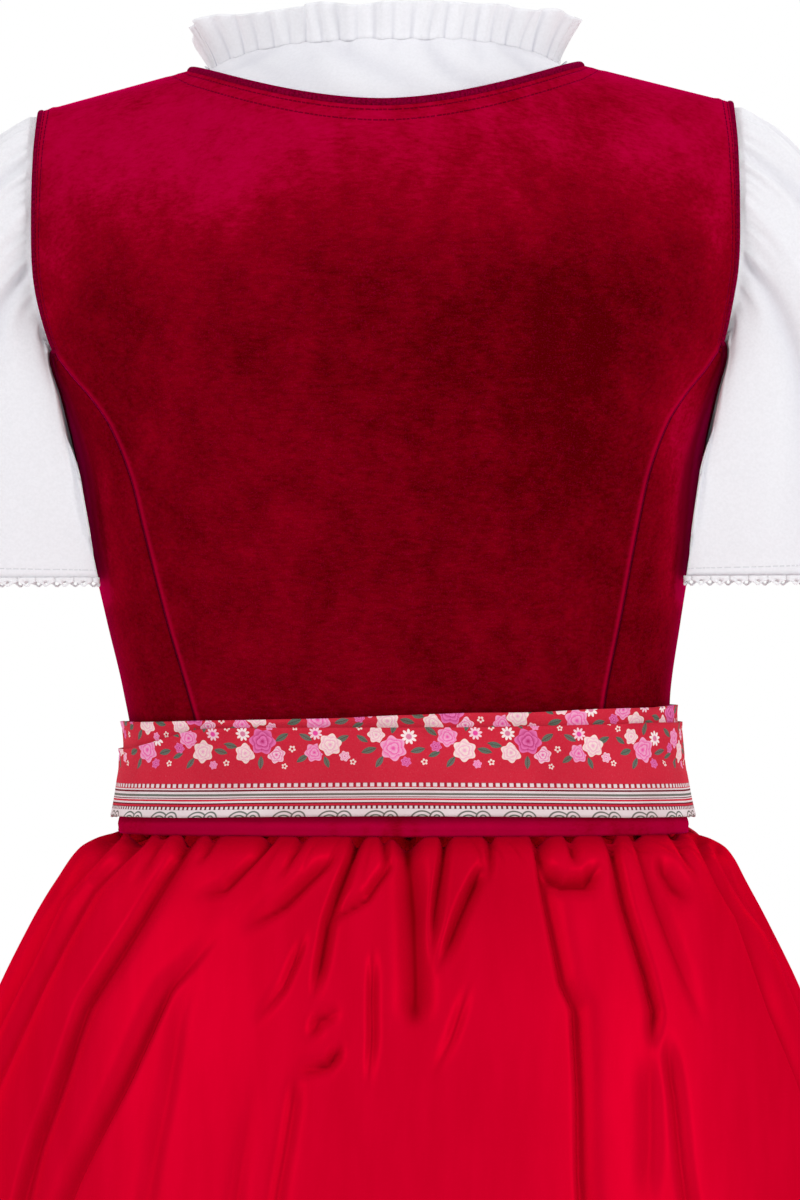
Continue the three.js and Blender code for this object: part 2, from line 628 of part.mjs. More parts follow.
// How far the gathers pull the skirt in, by angle from the back's middle and height.
function foldDepth(angle, z) {
  let inward = 0;
  for (const fold of FOLD_ROWS) {
    const open = ease((fold.start - z) / (fold.start - fold.full));
    const middle = mix(fold.top, fold.low, ease((fold.start - z) / SETTLED.fold));
    const growth = mix(SETTLED.start, 1, clamp((WAIST_SEAM - z) / (WAIST_SEAM - HEM)));
    const away = ((angle - middle + 540) % 360 - 180) / fold.width;
    inward += fold.depth * open * growth * Math.exp(-away * away);
  }
  return inward;
}
function skirtPoint(angle, z) {
  const turn = radians(angle);
  const depth = (Math.cos(turn) >= 0 ? skirtBack : skirtFront)(z);
  const power = mix(SQUARENESS, ROUND_HEM, ease((WAIST_SEAM - z) / SETTLED.round));
  const across = Math.abs(Math.sin(turn) / skirtHalf(z)) ** power;
  const deep = Math.abs(Math.cos(turn) / depth) ** power;
  const radius = (across + deep) ** (-1 / power) - foldDepth(angle, z);
  return new THREE.Vector3(radius * Math.sin(turn), radius * Math.cos(turn), z);
}
function skirtPanel({ name, finish, from, to, columns, heights, lift = 0, thickness }) {
  const rows = heights.length - 1;
  const at = (u, v) => {
    const i = Math.min(Math.floor(v * rows), rows - 1);
    return skirtPoint(mix(from, to, u), mix(heights[i], heights[i + 1], v * rows - i));
  };
  return wall({ name, finish, at, columns, rows, thickness, lift });
}
const SIDE_SEAM = 0.08;           // degrees from a side seam to each panel's edge
function skirt(name, middle, columns) {
  const [from, to] = [middle - 90 + SIDE_SEAM, middle + 90 - SIDE_SEAM];
  return skirtPanel({ name, finish: 'satin', from, to, columns, heights: SKIRT_HEIGHTS, thickness: SATIN });
}

// ---- apron ---------------------------------------------------------------------------
const BAND = { bottom: -397, top: -342, tilt: 0.03, lift: 3.9, spread: 2, gap: 1.1, columns: 44 };
const WRAP = { top: -348, tilt: 0.012, droop: 11, from: 95, over: 50 };
const APRON = { half: 68, lift: 6.5, columns: 22 };

// The band widens downwards over the bodice's seam allowances and the waist strip.
function bandPoint(u, z, layer) {
  const place = bodyRing(u, z);
  const spread = BAND.lift + BAND.spread * (BAND.top - z) / (BAND.top - BAND.bottom);
  const outward = new THREE.Vector3(place.x, place.y * 1.4, 0).normalize();
  return place.addScaledVector(outward, spread + layer * (COTTON + BAND.gap));
}
function apronBand() {
  const at = (u, v) => {
    const tilt = BAND.tilt * bodyRing(u, BAND.top).x;
    return bandPoint(u, mix(BAND.bottom, BAND.top - tilt, v), 0);
  };
  return wall({
    name: 'apron_band', finish: 'print', at, columns: BAND.columns, rows: 2, thickness: COTTON, ring: true,
  });
}
function apronTie() {
  const at = (u, v) => {
    const x = bodyRing(u, WRAP.top).x;
    const end = ease((x - WRAP.from) / WRAP.over);
    return bandPoint(u, mix(BAND.bottom, WRAP.top - WRAP.tilt * x - WRAP.droop * end, v), 1);
  };
  return wall({
    name: 'apron_tie', finish: 'print', at, columns: BAND.columns, rows: 2, thickness: COTTON, ring: true,
  });
}
function apronPanel() {
  const [from, to] = [180 - APRON.half, 180 + APRON.half];
  const heights = [BAND.bottom - 1.2, ...SKIRT_HEIGHTS.slice(1, -1), APRON_HEM];
  return skirtPanel({
    name: 'apron_panel', finish: 'print', from, to, columns: APRON.columns, heights, lift: APRON.lift,
    thickness: COTTON,
  });
}

// ---- bow at the front's left and the closing buttons ---------------------------------
const WAIST_GIRTH = 2 * Math.PI * 150;
const BOW = { turn: 0.93, z: -372, half: 16, deep: 9, high: 20, seat: 2.2 };
const LOOP = { length: 84, width: 40, deep: 9, droop: 5, seat: 3, gathered: 0.5, open: 50 };
// start: how far from the knot's side each loop begins.
const LOOP_ROWS = [
  { word: 'left', hand: -1, start: 0.4 },
  { word: 'right', hand: 1, start: 1.5 },
];
// loose and down: how fast a tail spreads from the knot and falls back onto the skirt.
const TAIL = {
  width: 50, top: -391.6, length: 330, gathered: 0.55, lift: 4, seat: 1.5, radius: 200, loose: 5, down: 8,
};
const TAIL_ROWS = [
  { word: 'under', angle: 160, spread: 4, over: 0 },
  { word: 'over', angle: 150, spread: -5, over: 2.8 },
];
const BUTTON = { count: 6, radius: 5.5, high: 2.4, first: -184, step: 28, seat: 0.7 };

// A three.js shape as a piece: its corners are taken over and posed with the rest.
function shaped(name, finish, geometry) {
  const corners = geometry.getAttribute('position');
  const points = [];
  for (let i = 0; i < corners.count; i += 1) points.push(new THREE.Vector3().fromBufferAttribute(corners, i));
  return solid(name, finish, points, Array.from(geometry.index.array));
}
const outwardOf = (point) => new THREE.Vector3(point.x, point.y, 0).normalize();

function bowKnot() {
  const seat = bandPoint(BOW.turn, BOW.z, 1);
  const out = outwardOf(seat);
  const geometry = new THREE.SphereGeometry(1, 10, 6);
  geometry.scale(BOW.half, BOW.high, BOW.deep);
  geometry.rotateX(Math.PI / 2);
  geometry.rotateZ(Math.atan2(out.y, out.x) + Math.PI / 2);
  const centre = seat.addScaledVector(out, BOW.deep + BOW.seat);
  geometry.translate(centre.x, centre.y, centre.z);
  return shaped('bow_knot', 'print', geometry);
}
function bowLoop({ word, hand, start }) {
  const at = (u, v) => {
    const angle = 2 * Math.PI * u;
    const along = BOW.half + start + LOOP.length * (1 - Math.cos(angle)) / 2;
    const fall = LOOP.droop * (along / LOOP.length) ** 2;
    const fullness = mix(LOOP.gathered, 1, Math.min(1, along / LOOP.open));
    const z = BOW.z - fall + (v - 0.5) * LOOP.width * fullness;
    const place = bandPoint(BOW.turn + hand * along / WAIST_GIRTH, z, 1);
    return place.addScaledVector(outwardOf(place), BOW.deep + LOOP.seat + LOOP.deep * Math.sin(angle));
  };
  const middle = bandPoint(BOW.turn + hand * (BOW.half + LOOP.length / 2) / WAIST_GIRTH, BOW.z, 1);
  middle.addScaledVector(outwardOf(middle), BOW.deep + LOOP.seat);
  const hub = (point) => new THREE.Vector3(middle.x, middle.y, point.z);
  return wall({
    name: `bow_loop_${word}`, finish: 'print', at, columns: 14, rows: 2, thickness: COTTON, ring: true, hub,
  });
}
function bowTail({ word, angle, spread, over }) {
  const at = (u, v) => {
    const z = TAIL.top - TAIL.length * v;
    const loose = ease(v * TAIL.loose);
    const width = TAIL.width * mix(TAIL.gathered, 1, loose);
    const middle = mix(360 * BOW.turn - 180, angle + spread * v, loose);
    const turn = middle + (u - 0.5) * THREE.MathUtils.radToDeg(width / TAIL.radius);
    const skirtFace = skirtPoint(turn, Math.min(z, WAIST_SEAM - 1));
    const knotFace = bandPoint((turn + 180) / 360, BAND.bottom, 1);
    const onSkirt = Math.hypot(skirtFace.x, skirtFace.y) + APRON.lift + TAIL.lift + over;
    const atKnot = Math.hypot(knotFace.x, knotFace.y) + BOW.deep + TAIL.seat + over;
    const radius = mix(Math.max(atKnot, onSkirt), onSkirt, ease(v * TAIL.down));
    const out = outwardOf(skirtFace);
    return new THREE.Vector3(out.x * radius, out.y * radius, z);
  };
  return wall({ name: `bow_tail_${word}`, finish: 'print', at, columns: 4, rows: 9, thickness: COTTON });
}

function button(index) {
  const { radius, high, first, step } = BUTTON;
  const profile = [[0, 0], [0.85, 0], [1, 0.35], [0.88, 0.8], [0, 1]];
  const outline = profile.map(([across, up]) => new THREE.Vector2(across * radius, up * high));
  const geometry = new THREE.LatheGeometry(outline, 12);
  const seat = form(0, first - step * index, -1);
  const out = formNormal(seat, -1);
  geometry.rotateX(Math.atan2(out.z, out.y));
  const place = seat.addScaledVector(out, BUTTON.seat);
  geometry.translate(place.x, place.y, place.z);
  return shaped(`button_${index + 1}`, 'button', geometry);
}

// ---- the whole set -------------------------------------------------------------------
const dirndl = new THREE.Group();
dirndl.add(bodiceBack());
for (const [word, hand] of [['left', 1], ['right', -1]]) {
  dirndl.add(bodiceSide(`bodice_side_back_${word}`, hand, 1));
  dirndl.add(bodiceFront(`bodice_front_${word}`, hand));
  dirndl.add(bodiceSide(`bodice_side_front_${word}`, hand, -1));
  dirndl.add(armholeBinding(`armhole_binding_${word}`, hand));
  dirndl.add(sleeve(`sleeve_${word}`, hand));
  dirndl.add(sleeveLace(`sleeve_lace_${word}`, hand));
}
dirndl.add(neckBinding());
dirndl.add(waistStrip());
dirndl.add(blouseBody('blouse_back', 1));
dirndl.add(blouseBody('blouse_front', -1));
dirndl.add(neckFrill());
dirndl.add(skirt('skirt_back', 0, SKIRT_COLUMNS.back));
dirndl.add(skirt('skirt_front', 180, SKIRT_COLUMNS.front));
dirndl.add(apronBand());
dirndl.add(apronTie());
dirndl.add(apronPanel());
dirndl.add(bowKnot());
for (const loop of LOOP_ROWS) dirndl.add(bowLoop(loop));
for (const tail of TAIL_ROWS) dirndl.add(bowTail(tail));
for (let i = 0; i < BUTTON.count; i += 1) dirndl.add(button(i));
export default dirndl;
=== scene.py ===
import math
import bmesh
import bpy
import numpy as np
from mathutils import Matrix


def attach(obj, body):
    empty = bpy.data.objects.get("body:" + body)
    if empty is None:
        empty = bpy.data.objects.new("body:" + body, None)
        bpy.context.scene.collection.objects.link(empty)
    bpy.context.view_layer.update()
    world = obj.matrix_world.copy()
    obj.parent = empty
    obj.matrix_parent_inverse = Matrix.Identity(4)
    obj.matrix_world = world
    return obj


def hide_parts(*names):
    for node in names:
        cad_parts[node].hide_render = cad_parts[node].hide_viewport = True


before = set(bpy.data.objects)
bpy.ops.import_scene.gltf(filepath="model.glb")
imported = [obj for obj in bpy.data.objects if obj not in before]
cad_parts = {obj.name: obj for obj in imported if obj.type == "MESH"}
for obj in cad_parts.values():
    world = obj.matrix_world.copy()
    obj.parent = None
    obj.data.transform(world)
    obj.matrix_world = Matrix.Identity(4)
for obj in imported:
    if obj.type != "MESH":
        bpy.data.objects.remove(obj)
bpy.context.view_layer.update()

# Lengths are millimetres in the tables and forms, and metres in Blender. x runs to the
# wearer's left, y to the back and z up from the neck's end of the shoulder seam.
MM, UV_SCALE = 0.001, 0.01
SEAM = 0.3
WAIST_SEAM, STRIP_TOP, HEM, APRON_HEM = -405, -397.6, -1025, -985
UNDERARM = -208
SHOULDER_TIP = (182.5, -20.5)
NECK_END, NECK_DIP, NECK_CURVE, RIDGE_RISE, RIDGE_CURVE = 104, 24, 1.8, 42, 1.6
SQUARENESS, SHOULDER_ROUND = 2.5, 130
FRONT_NECK_X, FRONT_NECK_LOW, FRONT_NECK_HIGH = 84, -170, -118
# The bust's place across and up, its radius and its swell; and how far one shoulder drops.
BUST_X, BUST_Z, BUST_RADIUS, BUST_SWELL = 78, -218, 42, 7
DROP, DROP_FROM, DROP_RISE = 0.0135, -330, 210


def table(names, *rows):
    return dict(zip(names.split(), np.array(rows, float).T))


BODY = table(
    "z half back front",
    (60, 200, 98, 52), (0, 200, 100, 60), (-60, 201, 103, 76), (-110, 199, 105, 96),
    (-150, 185, 104, 111), (-176, 174, 103, 120), (-208, 165, 101, 127), (-250, 160, 96, 122),
    (-293, 152, 90, 110), (-330, 145, 84, 101), (-360, 142.5, 83, 99), (-385, 144.5, 84, 100),
    (-405, 148.5, 88, 104), (-450, 160, 99, 112))
LEAN = table(
    "z x", (60, 0), (-120, 0), (-165, -1.8), (-200, -2), (-260, -3), (-330, -5.8), (-360, -8.2),
    (-410, -9), (-440, -7.4), (-490, -6.9), (-1030, 0))
BACK_EDGE = table(
    "z x", (10, 181), (-24, 182.5), (-45, 184), (-80, 184.5), (-110, 183.5), (-135, 179), (-150, 174.5),
    (-162, 167), (-175, 156), (-190, 146), (-215, 136), (-240, 130), (-290, 119), (-341, 107), (-408, 97))
FRONT_EDGE = table(
    "z x", (10, 181), (-24, 182.5), (-60, 177), (-100, 170), (-135, 168), (-150, 162), (-165, 143),
    (-185, 118), (-215, 98), (-260, 84), (-310, 72), (-352, 66), (-408, 70))
SKIRT = table(
    "z half back front",
    (-405, 151, 91, 105.6), (-408, 162, 101, 114), (-414, 172, 110, 121), (-430, 182.5, 121, 132),
    (-452, 195, 134, 144), (-491, 214, 154, 162), (-560, 241, 182, 188), (-700, 288, 228, 232),
    (-850, 334, 272, 273), (-1025, 380, 318, 316))


def clamp(t, low=0.0, high=1.0):
    return np.clip(t, low, high)


def mix(a, b, t):
    return a + (b - a) * t


def ease(t):
    t = clamp(t)
    return t * t * (3 - 2 * t)


def bump(t):
    return np.exp(-np.asarray(t, float) ** 2)


def column(rows, name):
    """Smooth curve through one column of a table, by height."""
    z, f = rows["z"], rows[name]
    last = len(z) - 1
    before, after = np.r_[0, np.arange(last)], np.r_[np.arange(1, len(z)), last]
    slope = (f[after] - f[before]) / (z[after] - z[before])

    def at(height):
        q = clamp(np.asarray(height, float), z[-1], z[0])
        i = clamp(np.searchsorted(-z, -q, side="right") - 1, 0, last - 1).astype(int)
        step = z[i + 1] - z[i]
        t = (q - z[i]) / step
        bend = step * t * (1 - t) * ((1 - t) * slope[i] - t * slope[i + 1])
        return f[i] + (f[i + 1] - f[i]) * t * t * (3 - 2 * t) + bend
    return at


body_half, body_back, body_front = (column(BODY, n) for n in ("half", "back", "front"))
skirt_half, skirt_back, skirt_front = (column(SKIRT, n) for n in ("half", "back", "front"))
lean_at, back_edge, front_edge = column(LEAN, "x"), column(BACK_EDGE, "x"), column(FRONT_EDGE, "x")


def edge_of(side):
    return back_edge if side > 0 else front_edge


def vec(x, y, z):
    return np.stack(np.broadcast_arrays(np.asarray(x, float), y, z), -1)


def unit(v):
    return v / np.maximum(np.linalg.norm(v, axis=-1, keepdims=True), 1e-9)


def sheet_grid(columns, rows):
    """Shares across and up a sheet, from 0 to 1, at each point of a grid."""
    return np.meshgrid(np.linspace(0, 1, columns), np.linspace(0, 1, rows))


def run_along(line):
    """Distance along a line of points, from its first."""
    return np.r_[0, np.cumsum(np.linalg.norm(np.diff(line, axis=0), axis=1))]


def pose(p):
    """The stance: every point passes through it last."""
    z = p[..., 2]
    dropped = DROP * ease((z - DROP_FROM) / DROP_RISE) * p[..., 0]
    return vec(p[..., 0] + lean_at(z), p[..., 1], z - dropped)


def ridge(x):
    """Height of the shoulders' ridge, where the back's form meets the front's."""
    across = np.abs(x)
    slope = SHOULDER_TIP[1] / (SHOULDER_TIP[0] - NECK_END)
    inner = RIDGE_RISE * (1 - clamp(across / NECK_END) ** RIDGE_CURVE)
    return np.where(across > NECK_END, slope * (across - NECK_END), inner)


def form(x, z, side):
    """The body's form: side 1 is the back and -1 the front."""
    x, z, side = np.broadcast_arrays(np.asarray(x, float), z, side)
    depth = np.where(side > 0, body_back(z), body_front(z))
    inside = clamp(1 - np.abs(x / body_half(z)) ** SQUARENESS)
    down = clamp((ridge(x) - z) / SHOULDER_ROUND)
    away = np.hypot(np.abs(x) - BUST_X, z - BUST_Z) / BUST_RADIUS
    bust = np.where(side > 0, 0, BUST_SWELL * bump(away))
    out = depth * inside ** (1 / SQUARENESS) * np.sqrt(1 - (1 - down) ** 2) + bust * inside
    return vec(x, side * (out + SEAM / 2), z)


def body_axis(p):
    return vec(0, 0, p[..., 2] - 40)


def form_normal(p, side):
    x, z = p[..., 0], p[..., 2]
    right = form(x + 0.5, z, side) - form(x - 0.5, z, side)
    up = form(x, z + 0.5, side) - form(x, z - 0.5, side)
    n = unit(np.cross(right, up))
    return n * np.where((n * (p - body_axis(p))).sum(-1) < 0, -1, 1)[..., None]


def normals(p, away=None, ring=False):
    """Normals of a grid of points, all on one side: away from the points away."""
    if ring:
        q = np.concatenate([p[:, -2:-1], p, p[:, 1:2]], 1)
        du = q[:, 2:] - q[:, :-2]
    else:
        du = np.gradient(p, axis=1)
    n = unit(np.cross(du, np.gradient(p, axis=0)))
    away = body_axis(p) if away is None else away
    return n if (n * (p - away)).sum() > 0 else -n


def round_trip(angle, z, half, back, front, power):
    """Points of a squared ellipse round the z axis, at angles from the back's middle."""
    depth = np.where(np.cos(angle) >= 0, back(z), front(z))
    across = np.abs(np.sin(angle) / half(z)) ** power
    deep = np.abs(np.cos(angle) / depth) ** power
    radius = (across + deep) ** (-1 / power)
    return vec(radius * np.sin(angle), radius * np.cos(angle), z)


def body_ring(u, z):
    angle = np.radians(360 * np.asarray(u, float) - 180)
    return round_trip(angle, z, body_half, body_back, body_front, SQUARENESS)


def noise1(t, seed, pitch=1.0):
    """Smooth seeded noise along a line, from -1 to 1."""
    cell = np.asarray(t, float) / pitch
    i = np.floor(cell).astype(int)
    f = cell - i

    def level(k):
        return np.sin((k * 127.1 + seed * 311.7) * 0.731) * 43758.5453 % 1 * 2 - 1
    return mix(level(i), level(i + 1), f * f * (3 - 2 * f))


# ---- meshes --------------------------------------------------------------------------
def new_mesh(name, points, faces, cut):
    """A smooth mesh of points in millimetres; cut holds each face corner's place on the cloth."""
    mesh = bpy.data.meshes.new(name)
    mesh.from_pydata((pose(points).reshape(-1, 3) * MM).tolist(), [], faces)
    layer = mesh.uv_layers.new(name="cut")
    flat = np.zeros((len(mesh.loops), 2), np.float32)
    flat[:len(cut)] = cut * UV_SCALE
    layer.data.foreach_set("uv", flat.ravel())
    mesh.shade_smooth()
    return mesh


def piece(name, mesh, finish, nodes, thick=0.0):
    """Puts a mesh in the scene for nodes of the frame, as a shell when thick is given."""
    o = bpy.data.objects.new(name, mesh)
    bpy.context.scene.collection.objects.link(o)
    mesh.materials.append(finish)
    if thick:
        shell = o.modifiers.new("Thickness", "SOLIDIFY")
        shell.thickness, shell.offset = thick * MM, -1
        shell.use_even_offset = False
    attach(o, "root")
    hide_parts(*nodes)
    return o


def cloth(name, p, finish, nodes, slot, thick, uv, ring=False, marks=None, away=None):
    """A grid of points as a piece of cloth, its thickness going in from them. uv and marks
    are grids in millimetres, kept as the UV map and as attributes."""
    rows, cols = p.shape[:2]
    r, c = rows // 2, cols // 3
    facing = np.cross(p[r, c + 1] - p[r, c], p[r + 1, c] - p[r, c])
    width = cols - 1 if ring else cols
    i, j = (a.ravel() for a in np.meshgrid(np.arange(cols - 1), np.arange(rows - 1)))
    corners = [(i, j), (i + 1, j), (i + 1, j + 1), (i, j + 1)]
    if normals(p, away, ring)[r, c] @ facing < 0:
        corners = corners[::-1]
    faces = np.stack([b * width + a % width for a, b in corners], 1)
    cut = np.stack([np.stack([grid[b, a] for grid in uv], -1) for a, b in corners], 1)
    mesh = new_mesh(name, p[:, :width], faces.tolist(), cut.reshape(-1, 2))
    for key, grid in (marks or {}).items():
        values = np.broadcast_to(grid, (rows, cols))[:, :width].astype(np.float32)
        mesh.attributes.new(key, "FLOAT", "POINT").data.foreach_set("value", values.ravel())
    return piece(name, mesh, finish, nodes, thick)


def oval(off, out, wide, high, count=14):
    a = np.linspace(0, 2 * np.pi, count, endpoint=False)
    return np.stack([off + wide * np.cos(a), out + high * np.sin(a)], 1)


def bead(name, path, out, off, section, finish, nodes, loop=False):
    """A cord of cloth along a path: section's points lie across off and along out."""
    m, k = len(path) - 1, len(section)
    p = path[:, None] + off[:, None] * section[:, :1] + out[:, None] * section[:, 1:]
    p = p[:m] if loop else p
    i, j = (a.ravel() for a in np.meshgrid(np.arange(m), np.arange(k), indexing="ij"))
    after, beside = (i + 1) % len(p), (j + 1) % k
    faces = np.stack([i * k + j, after * k + j, after * k + beside, i * k + beside], 1).tolist()
    if not loop:
        faces += [list(range(k))[::-1], [m * k + a for a in range(k)]]
    run = run_along(path)
    along = np.stack([run[i], run[i + 1], run[i + 1], run[i]], 1)
    across = np.stack([j, j, j + 1, j + 1], 1) / k * 10
    mesh = new_mesh(name, p, faces, np.stack([along.ravel(), across.ravel()], 1))
    b = bmesh.new()
    b.from_mesh(mesh)
    bmesh.ops.recalc_face_normals(b, faces=b.faces)
    b.to_mesh(mesh)
    b.free()
    return piece(name, mesh, finish, nodes)


# ---- looks ---------------------------------------------------------------------------
def arithmetic(operation, swapped=False):
    def method(self, other):
        values = (other, self) if swapped else (self, other)
        return self.graph.math(operation, *values)
    return method


class Value:
    """An output of a node tree; arithmetic on it adds math nodes."""

    __add__, __radd__ = arithmetic("ADD"), arithmetic("ADD", True)
    __sub__, __rsub__ = arithmetic("SUBTRACT"), arithmetic("SUBTRACT", True)
    __mul__, __rmul__ = arithmetic("MULTIPLY"), arithmetic("MULTIPLY", True)
    __truediv__ = arithmetic("DIVIDE")

    def __init__(self, graph, socket):
        self.graph, self.socket = graph, socket

    def __abs__(self):
        return self.graph.math("ABSOLUTE", self)


class Graph:
    """Short names for a node tree: each call adds a node and gives its output."""

    def __init__(self, tree):
        self.tree = tree

    def join(self, value, socket):
        """Leads a Value to a socket, or sets the socket to a fixed value."""
        if isinstance(value, Value):
            self.tree.links.new(value.socket, socket)
        elif value is not None:
            socket.default_value = value

    def put(self, kind, values=(), **settings):
        node = self.tree.nodes.new("ShaderNode" + kind)
        for key, value in settings.items():
            setattr(node, key, value)
        for key, value in values.items() if isinstance(values, dict) else enumerate(values):
            self.join(value, node.inputs[key])
        return node

    def out(self, kind, values=(), socket=0, **settings):
        return Value(self, self.put(kind, values, **settings).outputs[socket])

    def math(self, operation, *values):
        return self.out("Math", values, operation=operation)

    def vector(self, operation, *values, socket=0):
        return self.out("VectorMath", values, socket, operation=operation)

    def point(self, x, y):
        return self.out("CombineXYZ", (x, y, 0))

    def parts(self, vector):
        outputs = self.put("SeparateXYZ", (vector,)).outputs
        return Value(self, outputs[0]), Value(self, outputs[1])

    def step(self, value, low, high, to_low=0.0, to_high=1.0):
        """Smooth change of a number from to_low at low to to_high at high."""
        return self.out("MapRange", (value, low, high, to_low, to_high), interpolation_type="SMOOTHSTEP")

    def near(self, value, middle, half):
        """1 where value is within half of middle, with a soft end."""
        return self.step(abs(value - middle), half * 0.7, half * 1.3, 1.0, 0.0)

    def pick(self, share, a, b, data_type, first):
        node = self.put("Mix", data_type=data_type)
        for index, value in ((0, share), (first, a), (first + 1, b)):
            self.join(value, node.inputs[index])
        return Value(self, node.outputs[2 if data_type == "RGBA" else 1])

    def blend(self, share, a, b):
        """Mixes two colours: a at share 0, and b at 1."""
        a, b = ((*c, 1) if isinstance(c, tuple) else c for c in (a, b))
        return self.pick(share, a, b, "RGBA", 6)

    def mark(self, name):
        return self.out("Attribute", (), "Fac", attribute_name=name)

    def cut(self):
        """The cut's own coordinates in millimetres."""
        x, y = self.parts(self.out("UVMap", uv_map="cut"))
        return x * (1 / UV_SCALE), y * (1 / UV_SCALE)

    def stretched(self, x, y, z):
        return self.vector("MULTIPLY", self.out("TexCoord", (), "Object"), (x, y, z))

    def noise(self, vector, scale, detail=2.0, rough=0.5):
        values = {"Vector": vector, "Scale": scale, "Detail": detail, "Roughness": rough}
        return self.out("TexNoise", values, "Fac")

    def bump(self, height, distance, strength):
        return self.out("Bump", {"Height": height, "Distance": distance, "Strength": strength})

    def dashes(self, run, pitch, filled):
        return self.step(self.math("FRACT", run / pitch), filled, filled + 0.12, 1.0, 0.0)


class Look(Graph):
    """A material, whose shader takes fixed values at once and worked-out ones from done."""

    def __init__(self, name, roughness, **fixed):
        self.made = bpy.data.materials.new(name)
        self.made.use_nodes = True
        super().__init__(self.made.node_tree)
        self.done(Roughness=roughness, **fixed)

    def done(self, **sockets):
        inputs = self.tree.nodes["Principled BSDF"].inputs
        for key, value in sockets.items():
            self.join(value, inputs[key.replace("_", " ")])
        return self.made


def velvet():
    g = Look("Velvet", 0.9, Specular_IOR_Level=0.0, Sheen_Weight=0.7, Sheen_Roughness=0.27,
             Sheen_Tint=(0.9, 0.0, 0.18, 1))
    clouds = g.noise(g.stretched(1, 1, 0.6), 34, 4, 0.62)
    patches = g.noise(g.stretched(0.8, 1, 0.8), 70, 5, 0.66)
    pile = g.noise(g.stretched(1, 1, 1), 1500, 1)
    fibres = g.noise(g.stretched(0.3, 1, 1), 520, 3, 0.7)
    uneven = (clouds - 0.5) * 0.5 + (patches - 0.5) * 0.5
    uneven = uneven + (fibres - 0.5) * 0.6
    # Painted light and shade: the mark lightens and darkens the velvet, with random unevenness of the pile
    # added.
    light = g.mark("nap") + uneven
    ramp = g.out("MapRange", (light, 0.0, 1.0, 0.0, 1.0))
    base = g.blend(ramp, (0.085, 0.0, 0.0006), (0.40, 0.0, 0.014))
    base = g.blend(g.step(ramp, 0.45, 1.0), base, (0.42, 0.0, 0.036))
    # Painted magenta sheen where the painted light runs highest.
    base = g.blend(g.step(light, 1.6, 3.0), base, (0.80, 0.0, 0.16))
    base = g.blend(g.step(pile, 0.5, 0.78) * 0.12, base, (0.62, 0.0, 0.10))
    # Stitching: two rows below the neck, two by each armhole and a dark line at each seam.
    far, run, arm = g.mark("edge_far"), g.mark("edge_run"), g.mark("edge_arm")
    neck = g.math("MAXIMUM", g.near(far, 4.2, 0.42), g.near(far, 10.2, 0.42))
    neck = neck * (1 - arm)
    hole = g.math("MAXIMUM", g.near(far, 4.4, 0.35), g.near(far, 2.0, 0.3)) * arm
    stitch = (neck * 0.7 + hole) * g.dashes(run, 2.5, 0.72)
    gap = g.step(g.mark("seam_far"), 0.2, 1.1, 1.0, 0.0)
    dark = g.math("MINIMUM", stitch * 0.85 + gap * 0.8, 1)
    base = g.blend(dark, base, (0.035, 0.0, 0.006))
    # Painted highlight along the ridge of each welt.
    base = g.blend(g.mark("welt"), base, (0.48, 0.0, 0.036))
    height = pile * 0.25 + (patches * 0.7 + stitch * -1.4)
    return g.done(Base_Color=base, Normal=g.bump(height, 0.0006, 0.55))


def binding():
    g = Look("Binding", 0.7, Specular_IOR_Level=0.0, Sheen_Weight=0.25, Sheen_Roughness=0.4,
             Sheen_Tint=(0.7, 0.0, 0.2, 1))
    run, _ = g.cut()
    twill = g.math("SINE", run * 5.5)
    grain = g.noise(g.stretched(1, 1, 1), 900, 2)
    base = g.blend(g.step(grain, 0.3, 0.7), (0.10, 0.0, 0.008), (0.22, 0.0, 0.022))
    base = g.blend(g.dashes(run, 2.6, 0.6) * 0.15, base, (0.30, 0.0, 0.06))
    return g.done(Base_Color=base, Normal=g.bump(twill * 0.25 + grain, 0.0003, 0.6))


def satin():
    g = Look("Satin", 0.5, Specular_IOR_Level=0.0, Metallic=0.25, Sheen_Weight=0.12,
             Sheen_Roughness=0.4, Sheen_Tint=(1, 0.0, 0.08, 1), Specular_Tint=(0.55, 0.0, 0.015, 1))
    run, drop = g.cut()
    threads = g.noise(g.point(run * 0.001, drop * 0.00006), 1600, 2)
    slub = g.noise(g.point(run * 0.001, drop * 0.0002), 90, 3)
    base = g.blend(g.step(slub, 0.3, 0.75), (0.575, 0.0, 0.0175), (0.615, 0.0, 0.020))
    base = g.blend(g.step(threads, 0.4, 0.8) * 0.10, base, (0.72, 0.0, 0.03))
    base = g.blend(g.mark("shade") * 0.8, base, (0.20, 0.0, 0.002))
    crumple = g.noise(g.stretched(1, 1, 0.6), 60, 3, 0.55)
    return g.done(Base_Color=base, Normal=g.bump(threads * 0.05 + crumple * 0.5, 0.0005, 0.35))


def lawn(name, tone, hemmed=True):
    g = Look(name, 0.85, Specular_IOR_Level=0.2, Sheen_Weight=0.2, Sheen_Roughness=0.5,
             Subsurface_Weight=0.35, Subsurface_Radius=(1, 1, 1), Subsurface_Scale=0.004)
    grain = g.noise(g.stretched(1, 1, 1), 700, 2)
    crumple = g.noise(g.stretched(1, 1, 1), 38, 3, 0.6)
    base = g.blend(g.step(grain, 0.3, 0.7), tuple(c * 0.955 for c in tone), tone)
    base = g.blend(g.mark("shade"), base, (0.50, 0.50, 0.57))
    height = grain * 0.12 + crumple * 0.9
    if hemmed:
        run, _ = g.cut()
        hem = g.near(g.mark("hem_far"), 4.3, 0.28) * g.dashes(run, 2.2, 0.66)
        base = g.blend(hem * 0.4, base, (0.45, 0.45, 0.5))
        height = height + hem * -0.5
    return g.done(Base_Color=base, Normal=g.bump(height, 0.0007, 0.5))


